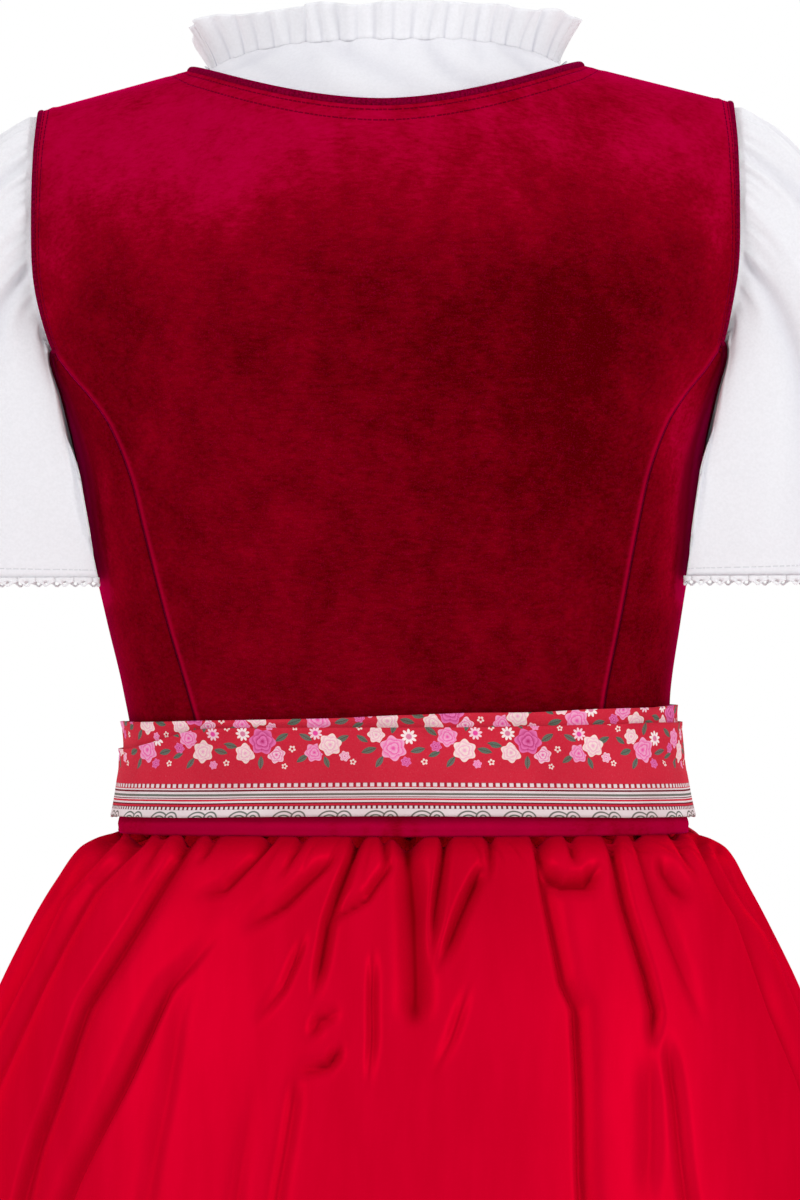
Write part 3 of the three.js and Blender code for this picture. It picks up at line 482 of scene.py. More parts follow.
def metal():
    g = Look("Old_silver", 0.34, Metallic=0.9)
    grain = g.noise(g.stretched(1, 1, 1), 900, 3)
    worn = g.noise(g.stretched(1, 1, 1), 260, 2)
    base = g.blend(g.step(worn, 0.35, 0.65), (0.2, 0.19, 0.18), (0.66, 0.65, 0.63))
    rough = g.step(grain, 0.3, 0.7, 0.26, 0.5)
    return g.done(Base_Color=base, Roughness=rough, Normal=g.bump(grain, 0.0002, 0.4))


# The print: a striped border below a garland of roses. Each kind of motif is drawn once, at
# whichever of its places is nearest; sizes are millimetres on the cloth.
REPEAT, FIELD_TILE, GARLAND_UP, PRINT_TOP = 132.0, 66, 37, 60


def scattered(g, place, rows):
    """The turned and scaled position in the nearest motif of rows, and that motif's colours."""
    local, light, dark = g.point(9, 9), (0, 0, 0), (0, 0, 0)
    for x, y, size, turn, tones in rows:
        d = g.vector("SUBTRACT", place, (x, y, 0))
        d = g.vector("WRAP", d, (REPEAT / 2, 999, 9), (-REPEAT / 2, -999, -9))
        d = g.out("VectorRotate", {"Vector": d, "Angle": -turn}, rotation_type="Z_AXIS")
        d = g.out("VectorMath", {0: d, "Scale": 1 / size}, operation="SCALE")
        near = g.math("LESS_THAN", g.vector("LENGTH", d, socket="Value"), 1.0)
        local = g.pick(near, local, d, "VECTOR", 4)
        light, dark = g.blend(near, light, tones[0]), g.blend(near, dark, tones[1])
    return local, light, dark


def rose(g, r, wave, light, dark):
    """Three rings of petals, each darker towards its rim's inside and between its petals."""
    rims = [0.89 + wave(6) * 0.10, 0.62 + wave(5, 2.8) * 0.08, 0.37 + wave(3, 1.0) * 0.05]
    parting = [abs(wave(3)), abs(wave(2.5, 1.4)), abs(wave(1.5, 0.5))]
    inside = g.step(rims[0] - r, 0.0, 0.06)
    colour = light
    for k, deep in enumerate((0.65, 0.8, 1.0)):
        low = rims[k + 1] if k < 2 else 0.0
        share = (r - low) / (rims[k] - low)
        shade = g.step(share, 0.0, 0.75, deep, 0.0) + g.step(parting[k], 0.0, 0.22, 0.4, 0.0)
        petal = g.blend(g.math("MINIMUM", shade, 1), light, dark)
        colour = g.blend(g.step(rims[k] - r, 0.0, 0.03), colour, petal)
    return inside, colour


def leaf(g, dx, dy, light, dark):
    across = abs(dy)
    body = 0.42 * (1 - dx * dx)
    inside = g.step(body - across, 0.0, 0.06)
    ribs = g.math("SINE", (dx + across) * 20)
    colour = g.blend((ribs * 0.5 + 0.5) * 0.4, light, dark)
    return inside, g.blend(g.step(across, 0.02, 0.08, 0.8, 0.0), colour, dark)


def blossom(g, r, lobes, light, dark):
    inside = g.step(0.52 + lobes * 0.44 - r, 0.0, 0.08)
    colour = g.blend(g.step(r, 0.26, 0.42, 1.0, 0.0), light, dark)
    return inside, g.blend(g.step(lobes, 0.1, 0.35, 1.0, 0.0) * 0.35, colour, dark)


def draw(g, kind, place, rows, below):
    """Lays the motifs of one kind, rose, leaf, daisy or star, over the colour below."""
    local, light, dark = scattered(g, place, rows)
    dx, dy = g.parts(local)
    r = g.vector("LENGTH", local, socket="Value")
    a = g.math("ARCTAN2", dy, dx)

    def wave(count, shift=0.0):
        return g.math("COSINE", a * count + shift)
    if kind == "rose":
        inside, colour = rose(g, r, wave, light, dark)
    elif kind == "leaf":
        inside, colour = leaf(g, dx, dy, light, dark)
    else:
        inside, colour = blossom(g, r, abs(wave(2.5 if kind == "star" else 4.5)), light, dark)
    return g.blend(inside, below, colour)


RED, PINK, MAGENTA = (0.59, 0.009, 0.034), (0.86, 0.36, 0.56), (0.80, 0.06, 0.34)
CREAM, LEAF, MOSS = (0.90, 0.72, 0.66), (0.10, 0.16, 0.12), (0.05, 0.05, 0.035)
PALE, ASH, WINE, DUSK = (0.78, 0.68, 0.69), (0.13, 0.16, 0.135), (0.13, 0.003, 0.012), (0.36, 0.004, 0.02)
# The border's stripes, from the edge upwards: where each begins and its colour.
STRIPES = [
    (0.0, PALE), (3.6, WINE), (5.5, RED), (6.5, WINE), (7.2, PALE), (8.2, RED), (9.1, PALE),
    (9.6, WINE), (9.9, PALE), (10.7, ASH), (11.9, PALE), (13.0, WINE), (14.0, PALE), (14.7, RED),
    (15.1, DUSK), (17.3, RED),
]
# Light and dark tones of the motifs.
BLUSH, SHELL, SNOW = (CREAM, PINK), ((0.90, 0.60, 0.68), MAGENTA), ((0.92, 0.80, 0.78), (0.70, 0.20, 0.34))
ROSE, DEEP, SPOT = (PINK, MAGENTA), ((0.78, 0.16, 0.42), (0.45, 0.01, 0.14)), (CREAM, RED)
GREEN, GREY = (LEAF, MOSS), (ASH, MOSS)
# Along, up from the garland's middle, size, turn and tones of each motif.
GARLAND = {
    "leaf": [
        (25, -3, 4.2, -0.3, GREEN), (1, -3, 4.0, 2.9, GREY), (12, 9, 3.8, 1.9, GREEN),
        (20, -9, 3.7, -1.0, GREY), (28, 3, 3.4, 0.6, GREEN), (38, 3, 4.1, 2.7, GREEN),
        (58, -7, 3.7, -0.6, GREEN), (56, 4, 3.8, 0.5, GREY), (46, -9, 3.4, -1.9, GREEN),
        (68, 4, 4.1, 2.6, GREEN), (95, 0, 4.1, 0.2, GREEN), (79, -9, 3.7, -1.5, GREY),
        (82, 11, 3.3, 1.0, GREEN), (100, -3, 4.0, 3.4, GREEN), (126, 7, 3.9, 0.7, GREEN),
        (117, -9, 3.7, -0.9, GREY), (108, 10, 3.4, 1.8, GREEN), (125, -5, 3.4, -0.4, GREEN)],
    "daisy": [
        (5, 4, 4.4, 0.2, SNOW), (51, 6, 3.8, 0.7, SHELL), (88, 6, 4.0, 0.1, SNOW),
        (104, 6, 3.8, 0.9, SHELL)],
    "rose": [
        (21, 5, 4.6, 1.1, BLUSH), (13, -2, 7.0, 0.4, ROSE), (7, -9, 2.8, 0.3, DEEP),
        (52, -4, 5.2, 2.0, ROSE), (44, 0, 6.2, 2.9, BLUSH), (37, -6, 2.9, 1.3, SHELL),
        (71, -5, 4.8, 0.8, SHELL), (87, -4, 5.6, 3.6, BLUSH), (78, 2, 7.3, 2.2, DEEP),
        (74, 10, 2.5, 2.0, ROSE), (118, 4, 5.6, 1.7, ROSE), (110, -3, 6.3, 0.6, BLUSH),
        (124, -1, 3.0, 0.2, DEEP), (104, -10, 2.4, 1.9, ROSE)],
    "star": [
        (29, 9, 1.9, 0.0, SPOT), (33, -9, 1.8, 0.5, SPOT), (63, -2, 2.0, 1.0, SPOT),
        (61, 9, 1.7, 0.3, SPOT), (96, 9, 1.8, 0.8, SPOT), (97, -9, 1.9, 0.2, SPOT),
        (130, -9, 1.9, 0.1, SPOT), (34, 12, 1.5, 0.6, SPOT), (67, -11, 1.7, 0.6, SPOT)],
}
# Scattered on the apron's field, in a tile of REPEAT by FIELD_TILE.
FIELD = {
    "leaf": [
        (14, 14, 4, 0.6, GREEN), (80, 12, 4, 2.2, GREEN), (46, 50, 4, 0.2, GREEN),
        (112, 54, 4, 2.6, GREEN)],
    "rose": [
        (18, 20, 4.4, 0.5, ROSE), (86, 18, 4.2, 1.5, BLUSH), (52, 54, 4.2, 2.5, BLUSH),
        (118, 50, 4.4, 3.5, ROSE)],
    "star": [
        (50, 33, 2.2, 0, SPOT), (118, 36, 2.2, 0.4, SPOT), (16, 44, 2.2, 0.7, SPOT),
        (84, 46, 2.2, 0.2, SPOT)],
}


def striped(g, up):
    """The border's stripes by height above the edge."""
    ramp = g.put("ValToRGB", (up / PRINT_TOP,))
    ramp.color_ramp.interpolation = "CONSTANT"
    points = ramp.color_ramp.elements
    points.remove(points[1])
    for start, colour in STRIPES:
        point = points.new(start / PRINT_TOP) if start else points[0]
        point.color = (*colour, 1)
    return Value(g, ramp.outputs[0])


def printed(name, field):
    """Red cotton with the striped border and its garland; field adds scattered motifs above."""
    g = Look(name, 0.8, Specular_IOR_Level=0.04)
    run, up = g.cut()
    weave = g.noise(g.stretched(1, 1, 1), 1100, 2)
    colour = striped(g, up)
    # Small squares on the two dotted rows, and the tops of rings on the edge.
    for middle, half, pitch in ((4.55, 0.72, 2.5), (16.2, 0.95, 3.4)):
        colour = g.blend(g.near(up, middle, half) * g.dashes(run, pitch, 0.52), colour, PALE)
    low = g.step(up, 3.3, 3.6, 1.0, 0.0)
    for apart, shift, deep in ((11.0, 0.0, 3.4), (11.0, 7.0, 0.8)):
        along = g.math("WRAP", run + shift, apart, -apart)
        ring = g.math("SQRT", along * along + (up + deep) * (up + deep))
        for size, tone in ((3.0, ASH), (2.2, PALE), (1.0, LEAF), (0.3, PALE)):
            size += deep
            colour = g.blend(g.step(ring, size - 0.15, size + 0.15, 1.0, 0.0) * low, colour, tone)
    speck = g.step(g.noise(g.point(run, up), 1.1, 1), 0.66, 0.74)
    colour = g.blend(speck * g.step(up, 17.3, 17.6) * 0.3, colour, (0.72, 0.10, 0.14))
    garland = g.point(run, up + -GARLAND_UP)
    for kind, rows in GARLAND.items():
        colour = draw(g, kind, garland, rows, colour)
    if field:
        above = g.math("WRAP", up + -62, FIELD_TILE, 0) + g.step(up, 60, 61, 1.0, 0.0) * 500
        scatter = g.point(run, above)
        for kind, rows in FIELD.items():
            colour = draw(g, kind, scatter, rows, colour)
    colour = g.blend(weave * 0.05, colour, (0.9, 0.5, 0.5))
    colour = g.blend(g.mark("shade") * 0.45, colour, (0.17, 0.0, 0.008))
    faded = g.noise(g.stretched(1, 1, 1), 30, 2)
    colour = g.blend(g.step(faded, 0.35, 0.7, 0.0, 0.15), colour, (0.25, 0.0, 0.01))
    return g.done(Base_Color=colour, Normal=g.bump(weave + faded * 0.8, 0.0005, 0.45))


VELVET, BINDING, SATIN, METAL = velvet(), binding(), satin(), metal()
BLOUSE, LACE = lawn("Lawn", (0.885, 0.88, 0.92)), lawn("Lace_thread", (0.89, 0.88, 0.91), False)
PRINT, APRON_PRINT = printed("Printed_cotton", False), printed("Apron_cotton", True)


# ---- bodice --------------------------------------------------------------------------
# Height where an armhole leaves the long seam, on the back (1) and the front (-1).
SIDE_TOP = {1: -150, -1: -145}
VELVET_INSET, ARM_MIDDLE = 0.1, (190, 0, -114)


def back_top(x):
    across = np.abs(x)
    dip = NECK_DIP * (clamp(across / NECK_END) ** NECK_CURVE - 1)
    return np.where(across >= NECK_END, ridge(x), dip)


def front_inner(z):
    z = np.asarray(z, float)
    t = clamp((z - FRONT_NECK_LOW) / (FRONT_NECK_HIGH - FRONT_NECK_LOW))
    scoop = np.maximum(SEAM, FRONT_NECK_X * np.sqrt(1 - (1 - t) ** 2))
    strap = mix(FRONT_NECK_X, NECK_END, clamp((z - FRONT_NECK_HIGH) / -FRONT_NECK_HIGH) ** 1.3)
    return np.where(z >= FRONT_NECK_HIGH, strap, scoop)


def armhole_height(side, u):
    return mix(SIDE_TOP[side], UNDERARM, u ** 1.8)


def side_point(hand, side, u, z):
    half = body_half(z)
    turn = mix(np.arcsin(clamp((edge_of(side)(z) + 0.1) / half)), np.pi / 2, u)
    return form(hand * half * np.sin(turn), z, side)


def armhole_path(hand, count):
    """The armhole's edge from the shoulder tip over the back to the underarm and up the front."""
    path, upper = [], 0.6
    for u in np.linspace(0, 1, count):
        side = 1 if u < 0.5 else -1
        down = 2 * u if side > 0 else 2 - 2 * u
        if down > upper:
            t = (down - upper) / (1 - upper)
            path.append(side_point(hand, side, t, armhole_height(side, t)))
        else:
            z = mix(SHOULDER_TIP[1], SIDE_TOP[side], (down / upper) ** 1.7)
            path.append(form(hand * edge_of(side)(z), min(z, ridge(edge_of(side)(z))), side))
    return np.array(path).reshape(-1, 3)


def neck_path(count):
    """The neck's edge from the back's middle to the closing, and on round the other side."""
    path, scoop, behind = [], 0.3, 0.62
    for u in np.linspace(0.002, 0.998, count):
        hand, run = (1 if u < 0.5 else -1), 1 - abs(2 * u - 1)
        if run > behind:
            x = hand * NECK_END * (1 - ((run - behind) / (1 - behind)) ** 2)
            path.append(form(x, back_top(x), 1))
        elif run > scoop:
            z = FRONT_NECK_HIGH * (1 - (run - scoop) / (behind - scoop)) ** 2
            path.append(form(hand * front_inner(z), z, -1))
        else:
            turn = run / scoop * np.pi / 2
            z = mix(FRONT_NECK_LOW, FRONT_NECK_HIGH, 1 - np.cos(turn))
            path.append(form(hand * max(SEAM, FRONT_NECK_X * np.sin(turn)), z, -1))
    return np.array(path).reshape(-1, 3)


def frames(path, opening, loop=False):
    """Directions out of the cloth and off its edge, towards the opening's middle."""
    if loop:
        q = np.concatenate([path[-2:-1], path, path[1:2]])
        along = unit(q[2:] - q[:-2])
    else:
        along = unit(np.gradient(path, axis=0))
    out = form_normal(path, np.where(path[:, 1] > 0, 1, -1))
    off = unit(np.cross(along, out))
    off *= np.where((off * (np.array(opening) - path)).sum(-1) < 0, -1, 1)[:, None]
    return out, off


def arm_frames(path, hand):
    x, y, z = ARM_MIDDLE
    return frames(path, (hand * x, y, z), loop=True)


NECK = neck_path(420)
ARMHOLE = {hand: armhole_path(hand, 260) for hand in (1, -1)}


def to_path(p, path):
    """Distance from each point of a grid to a path, and the path's run there."""
    run = run_along(path)
    apart, at = np.full(p.shape[:2], 1e3), np.zeros(p.shape[:2])
    for r in range(p.shape[0]):
        d = np.linalg.norm(p[r][:, None] - path[None], axis=-1)
        k = d.argmin(1)
        apart[r], at[r] = d[np.arange(len(k)), k], run[k]
    return apart, at


def bound_edges(p, hands=(1, -1)):
    """Marks of the nearest bound edge: its distance and the run along it."""
    d, s = to_path(p, NECK)
    kind = np.zeros_like(d)
    for hand in hands:
        da, sa = to_path(p, ARMHOLE[hand])
        near = da < d
        d, s, kind = np.where(near, da, d), np.where(near, sa, s), np.where(near, 1.0, kind)
    return {"edge_far": d, "edge_run": s, "edge_arm": kind}


# Soft creases of the back, where the shoulder blades and the waist pull the velvet: a line
# from (x, z) to (x, z), its depth and half-width.
BODICE_CREASES = [
    ((150, -96), (172, -70), 0.9, 7), ((-152, -88), (-174, -66), 0.8, 7),
    ((118, -238), (96, -262), 0.5, 9), ((-116, -246), (-92, -270), 0.6, 9),
    ((60, -322), (66, -341), 0.7, 6), ((22, -326), (24, -341), 0.6, 5),
    ((-18, -318), (-16, -341), 0.7, 6), ((-58, -324), (-66, -341), 0.7, 6),
    ((-84, -330), (-90, -341), 0.6, 5), ((88, -331), (94, -341), 0.6, 5),
]


def creased(x, z, rows):
    """Depth of straight creases at each point."""
    total = np.zeros(np.broadcast(x, z).shape)
    for (x0, z0), (x1, z1), depth, width in rows:
        length = math.hypot(x1 - x0, z1 - z0)
        ux, uz = (x1 - x0) / length, (z1 - z0) / length
        along = ((x - x0) * ux + (z - z0) * uz) / length
        across = (x - x0) * uz - (z - z0) * ux
        total += depth * bump(across / width) * bump((along - 0.5) * 1.5)
    return total


# Painted light and shade on the velvet, patches lighter or darker: (x, z), its half-widths, and how much.
PAINTED_LIGHT_PATCHES = [
    ((-150, -45), (40, 34), 0.12), ((118, -48), (70, 34), 0.22), ((0, -34), (60, 14), 0.10),
    ((70, -62), (44, 18), 0.10), ((95, -110), (44, 34), 0.12), ((-105, -125), (56, 66), -0.11),
    ((-60, -160), (60, 70), -0.08), ((40, -128), (50, 40), -0.06), ((100, -190), (34, 60), 0.12),
    ((52, -215), (16, 70), 0.10), ((172, -110), (14, 60), 0.26), ((-176, -110), (13, 60), 0.22),
    ((140, -118), (16, 20), -0.10), ((114, -285), (12, 46), 0.06), ((-150, -200), (14, 60), 0.16),
    ((50, -300), (50, 30), 0.05), ((60, -86), (12, 20), -0.10), ((146, -72), (12, 12), -0.12),
    ((-60, -335), (50, 14), -0.05), ((-96, -200), (30, 90), -0.07), ((-136, -300), (24, 70), -0.10),
    ((122, -305), (22, 50), -0.05), ((-156, -190), (20, 45), 0.30), ((150, -300), (10, 40), 0.08),
    ((0, -70), (30, 12), -0.06), ((-110, -72), (30, 14), -0.05),
]


def nap_of(x, z):
    # Painted light: lighter towards the shoulders, with the listed patches added.
    light = mix(0.20, 0.60, ease((z + 140) / 105))
    for (x0, z0), (wide, high), amount in PAINTED_LIGHT_PATCHES:
        light = light + amount * bump((x - x0) / wide) * bump((z - z0) / high)
    return light


def dense_ends(count, share=0.8):
    t = np.linspace(-1, 1, count)
    return mix(t, np.sin(t * np.pi / 2), share)


def velvet_cloth(name, node, p, cut, marks, thick=1.9, ring=False):
    return cloth(name, p, VELVET, [node], "velvet", thick, cut, ring=ring, marks=marks)


def seam_marks(far, z):
    """The velvet's rise beside a long seam, and the distance to that seam."""
    welt = 0.5 * bump((far - 1.6) / 0.9) * ease((-146 - z) / 8)
    return welt, np.where(z < -148, far, 99)


def bodice_back():
    s, v = np.meshgrid(dense_ends(131), np.linspace(0, 1, 141))
    v = v + v * v * (1 - v)
    top = back_top(s * SHOULDER_TIP[0])
    for _ in range(5):
        top = back_top(s * back_edge(top))
    z = mix(WAIST_SEAM + 0.6, top, v)
    edge = back_edge(z)
    x = s * edge
    p = form(x, z, 1)
    n = normals(p)
    marks = bound_edges(p)
    welt, seam = seam_marks((1 - np.abs(s)) * edge, z)
    far, by_arm = marks["edge_far"], marks["edge_arm"] > 0.5
    turned = 0.5 * bump((far - 6.2) / 1.6) * by_arm
    quilt = -0.35 * bump((far - 4) / 0.9) - 0.35 * bump((far - 10) / 0.9)
    raised = welt + turned + quilt * ~by_arm - creased(x, z, BODICE_CREASES) - VELVET_INSET
    p = p + n * raised[..., None]
    marks.update(seam_far=seam, nap=nap_of(x, z), welt=welt)
    return velvet_cloth("back_panel", "bodice_back", p, (x, z), marks)


def bodice_side(word, hand, side):
    u, v = sheet_grid(33, 75)
    z = mix(WAIST_SEAM + 0.6, armhole_height(side, u), v)
    p = side_point(hand, side, u, z)
    n = normals(p)
    marks = bound_edges(p, (hand,))
    far = np.abs(p[..., 0]) - edge_of(side)(z)
    turned = 0.5 * bump((marks["edge_far"] - 6.2) / 1.6)
    p = p + n * (turned - 0.25 * bump(far / 1.2) - VELVET_INSET)[..., None]
    # Painted sheen on the outer edge where the sleeve shades it, and painted light over the side panel
    # away from its seam.
    rim = ease((np.abs(p[..., 0]) - body_half(z) + 9) / 8) * ease((z + 290) / 25)
    painted_side_light = ease((far - 6) / 26) * mix(0.15, 1, ease((z + 310) / 70)) + 4 * rim
    nap = nap_of(p[..., 0], z) + painted_side_light * (0.6 if side > 0 else 0.15)
    marks.update(seam_far=far, nap=nap, welt=0.0)
    name = f"side_back_{word}" if side > 0 else f"side_front_{word}"
    return velvet_cloth(name, "bodice_" + name, p, (p[..., 0], z), marks)


def bodice_front(word, hand):
    u, v = sheet_grid(41, 110)
    v = v + v * v * (1 - v)
    top = ridge(mix(NECK_END, SHOULDER_TIP[0], u))
    for _ in range(5):
        top = ridge(mix(front_inner(top), front_edge(top), u))
    z = mix(WAIST_SEAM + 0.6, top, v)
    x = hand * mix(front_inner(z), front_edge(z), u)
    p = form(x, z, -1)
    n = normals(p)
    marks = bound_edges(p, (hand,))
    welt, seam = seam_marks(front_edge(z) - np.abs(x), z)
    closing = 0.5 * bump((np.abs(x) - 9) / 1.4) * ease((FRONT_NECK_LOW - z) / 6)
    p = p + n * (welt - closing - VELVET_INSET)[..., None]
    marks.update(seam_far=seam, nap=nap_of(x, z), welt=welt)
    return velvet_cloth("front_panel_" + word, "bodice_front_" + word, p, (x, z), marks)


def waist_strip():
    u, v = sheet_grid(361, 13)
    z = mix(WAIST_SEAM - 0.3, STRIP_TOP + 5, v)
    p = body_ring(u, z)
    n = normals(p, ring=True)
    run, low = 960 * u, 1 - v
    swell = 3.4 - 1.9 * low ** 6 - 0.5 * bump((v - 0.2) / 0.08) - 0.8 * v ** 4
    wave = 0.6 * noise1(run, 3, 17) * (1 - 0.6 * v) + 0.6 * noise1(run, 8, 6) * low
    wave = mix(wave, wave[:, :1], bump((u - 1) / 0.01) + bump(u / 0.01))
    drop = (0.6 + 1.1 * noise1(run, 19, 24) + 0.8 * noise1(run, 2, 9)) * low
    z = z - drop * (1 - bump((u - 1) / 0.02) - bump(u / 0.02))
    p = p + n * (swell + wave)[..., None]
    marks = {"edge_far": 99.0, "edge_run": run, "edge_arm": 0.0, "seam_far": 99.0, "welt": 0.0}
    # Painted light: the strip is drawn bright, with random changes along it.
    marks["nap"] = 0.95 + 0.2 * noise1(run, 13, 30) + 0.2 * noise1(run, 5, 9) * low
    return velvet_cloth("velvet_strip", "waist_strip", p, (run, z), marks, 1.3, ring=True)


def armhole_bead(word, hand):
    path = ARMHOLE[hand]
    out, off = arm_frames(path, hand)
    return bead(f"armhole_edge_{word}", path, out, off, oval(0.5, -0.9, 1.7, 1.7), BINDING,
                [f"armhole_binding_{word}"], loop=True)


back = bodice_back()
for word, hand in (("left", 1), ("right", -1)):
    bodice_side(word, hand, 1)
    bodice_side(word, hand, -1)
    bodice_front(word, hand)
    armhole_bead(word, hand)
out, off = frames(NECK, (0, 0, 10))
neck_edge = bead("neck_edge", NECK, out, off, oval(0.4, -0.7, 2.35, 1.9), BINDING, ["neck_binding"])
strip = waist_strip()


# ---- blouse --------------------------------------------------------------------------
BLOUSE_END, INSET, BLOUSE_EDGE = -262, -6.0, 12
BLOUSE_UNDERARM = UNDERARM - BLOUSE_EDGE
NECK_X, NECK_BACK, NECK_FRONT, NECK_POWER = 92.5, 17.5, -62, 4.6


def blouse_top(x, side):
    across = np.abs(x) / NECK_X
    middle = NECK_BACK if side > 0 else NECK_FRONT
    return np.where(across >= 1, ridge(x), mix(middle, ridge(NECK_X), clamp(across) ** NECK_POWER))


def blouse_x(s, z, side):
    half, top = body_half(z), SIDE_TOP[-1]
    arm = edge_of(side)(np.maximum(z, top))
    opened = ease((z - BLOUSE_UNDERARM) / (top - BLOUSE_UNDERARM))
    edge = np.where(z <= BLOUSE_UNDERARM, half, mix(half, arm - BLOUSE_EDGE, np.sqrt(opened)))
    return half * np.sin(s * np.arcsin(clamp(edge / half)))


# Puckers under the frill's seam and soft lines that sweep over the yoke, from (x, z) to
# (x, z), with depth and half-width.
YOKE_CREASES = [
    ((-22, 15), (-34, -2), 1.6, 3.6), ((-34, -2), (-72, -22), 1.5, 5.0),
    ((-64, 13), (-84, -4), 1.4, 3.2), ((66, 11), (84, 4), 1.8, 3.0), ((34, 15), (10, 2), 1.0, 6.0),
    ((10, 2), (-20, -14), 1.1, 7.0), ((74, 6), (50, -8), 1.2, 5.0), ((44, 13), (38, 4), 0.9, 3.0),
    ((-48, 15), (-52, 4), 0.9, 3.0), ((20, 16), (22, 8), 0.7, 3.0), ((-6, 16), (-4, 9), 0.7, 3.0),
    ((56, 10), (30, -14), 1.0, 7.0),
]


def blouse_body(side):
    s, v = np.meshgrid(np.linspace(-1, 1, 101), np.linspace(0, 1, 51))
    v = v + v * v * (1 - v)
    top = np.full(s.shape, SHOULDER_TIP[1])
    for _ in range(4):
        top = blouse_top(blouse_x(s, top, side), side) - 1e-4
    z = mix(BLOUSE_END, top, v)
    x = blouse_x(s, z, side)
    p = form(x, z, side)
    n = normals(p)
    below = np.clip(top - z, 0, None)
    gather = 0.35 * np.cos(x / 2.3 + 1.7 * noise1(x, 5, 19)) * bump(below / 9) * (np.abs(x) < 90)
    soft = 0.5 * noise1(x + 0.4 * z, 12, 24) * noise1(z, 4, 30)
    crease = creased(x, z, YOKE_CREASES if side > 0 else [])
    p = p + n * (INSET + gather + soft - crease)[..., None]
    shade = 0.12 + 0.3 * clamp(crease / 1.6) + 0.1 * ease((-20 - x) / 60)
    word = "back" if side > 0 else "front"
    return cloth(f"yoke_{word}", p, BLOUSE, [f"blouse_{word}"], "blouse", 0.9, (x, z),
                 marks={"hem_far": 99, "shade": shade})


def neck_seam(u):
    angle = np.radians(360 * np.asarray(u, float) - 180)
    side = np.where(np.cos(angle) >= 0, 1, -1)
    x = NECK_X * np.sin(angle)
    inner = np.sign(x) * np.minimum(np.abs(x), NECK_X - 1e-6)
    p = form(x, np.where(side > 0, blouse_top(inner, 1), blouse_top(inner, -1)), side)
    return p + form_normal(p, side) * INSET


# The frill's pleats over the back, by their distance from the back's middle: how far each
# stands out and its half-width. Those of the front follow the same rhythm.
BACK_PLEATS = [
    (-104, 3.4, 5.2), (-92, 4.2, 4.2), (-81, 2.4, 3.2), (-73, 3.6, 4.2), (-62, 2.6, 3.2),
    (-53, 3.4, 3.6), (-44, 1.9, 3.0), (-36, 3.2, 4.0), (-26, 2.2, 3.0), (-18, 3.3, 3.6),
    (-8, 2.4, 3.2), (1, 3.0, 3.6), (11, 2.0, 3.0), (19, 3.4, 3.8), (29, 2.6, 3.2), (38, 3.4, 3.8),
    (48, 2.2, 3.0), (57, 3.2, 4.0), (68, 2.6, 3.4), (77, 3.8, 4.2), (88, 2.8, 3.4), (99, 4.6, 5.4),
]
FRONT_PLEATS = [
    (118 + 10.5 * k + 2.2 * math.sin(k * 2.3), 2.8 + 0.9 * math.sin(k * 1.7), 3.6 + 0.5 * math.cos(k))
    for k in range(26)]


def neck_frill():
    u, v = sheet_grid(601, 19)
    base = neck_seam(u)
    dense = np.linspace(0, 1, 1561)
    run = run_along(neck_seam(dense))
    total = run[-1]
    t = np.interp(u, dense, run) - total / 2
    stand, shade = np.zeros_like(t), np.zeros_like(t)
    for at, high, half in BACK_PLEATS + FRONT_PLEATS:
        apart = (t - at + total / 2) % total - total / 2
        stand += high * bump(apart / (half * mix(1, 1.35, v)))
        valley = bump((apart - 1.35 * half) / mix(0.6, 1.3, v)) * mix(0.9, 0.15, v)
        shade = np.maximum(shade, high / 4 * valley)
    aside = np.abs(base[..., 0]) - 92
    corner = bump(aside / 14)
    stand = (stand - 2.2) * (1 - 0.55 * corner)
    outward = unit(vec(base[..., 0], base[..., 1], 0))
    tangent = unit(np.cross([0, 0, 1.0], outward))
    flare = v ** 1.25
    swing = np.where(np.abs(u - 0.5) > 0.492, 0, 2.4 * noise1(t, 21, 9) * flare)
    lean = 3.4 + 1.3 * stand + 1.8 * noise1(t, 4, 16) + 10 * corner
    out = 1.8 + 0.8 * stand * mix(0.4, 1, v) + flare * lean
    rise = -2.4 + 19.6 * v - 1.5 * flare * noise1(t, 9, 15) + 5 * v * bump(aside / 24)
    p = base + outward * out[..., None] + tangent * swing[..., None] + vec(0, 0, rise)
    return cloth("frill", p, BLOUSE, ["neck_frill"], "blouse", 0.8, (t, 18.2 * v), ring=True,
                 marks={"hem_far": 99.0, "shade": shade}, away=base * [0.2, 0.2, 1])


SLEEVE_HEM, SLEEVE_LONG = -270, 172
# Rows of a sleeve that lead from its seam to the armhole's edge, and on to the puff.
INSIDE, TURNED = 6, 12


def beside_body(hand, y, z):
    """How near a sleeve comes to the body, closest where it lies over the side from behind."""
    behind = np.clip(y, 0, None)
    down = ARMHOLE[hand][:130]
    edge = np.interp(-z, -down[:, 2], hand * down[:, 0]) + 3.5
    side = mix(edge, body_half(z) + 0.7, ease((UNDERARM + 12 - z) / 20))
    side = mix(body_half(z) + 0.7, side, clamp(behind / 20))
    return side * (1 - behind / 4000) - 0.03 * behind


def around(ring, half):
    """A closed ring of points smoothed over its neighbours."""
    near = range(-2 * half, 2 * half + 1)
    weight = bump(np.array(near) / half)
    moved = sum(w * np.roll(ring[:-1], -k, axis=0) for k, w in zip(near, weight)) / weight.sum()
    return np.concatenate([moved, moved[:1]])


def round_arm(u):
    """Cosine and sine of a turn round the arm, squarer on the side by the body."""
    c, s = np.cos(2 * np.pi * u), np.sin(2 * np.pi * u)
    share = 2 / mix(2, 12, ease(-1.6 * c))
    return np.sign(c) * np.abs(c) ** share, np.sign(s) * np.abs(s) ** share


def sleeve_hem(hand, u):
    c, s = round_arm(u)
    y = 65 * s - 15
    x = np.maximum(214 + 64 * c, beside_body(hand, y, SLEEVE_HEM))
    return vec(hand * x, y, SLEEVE_HEM)


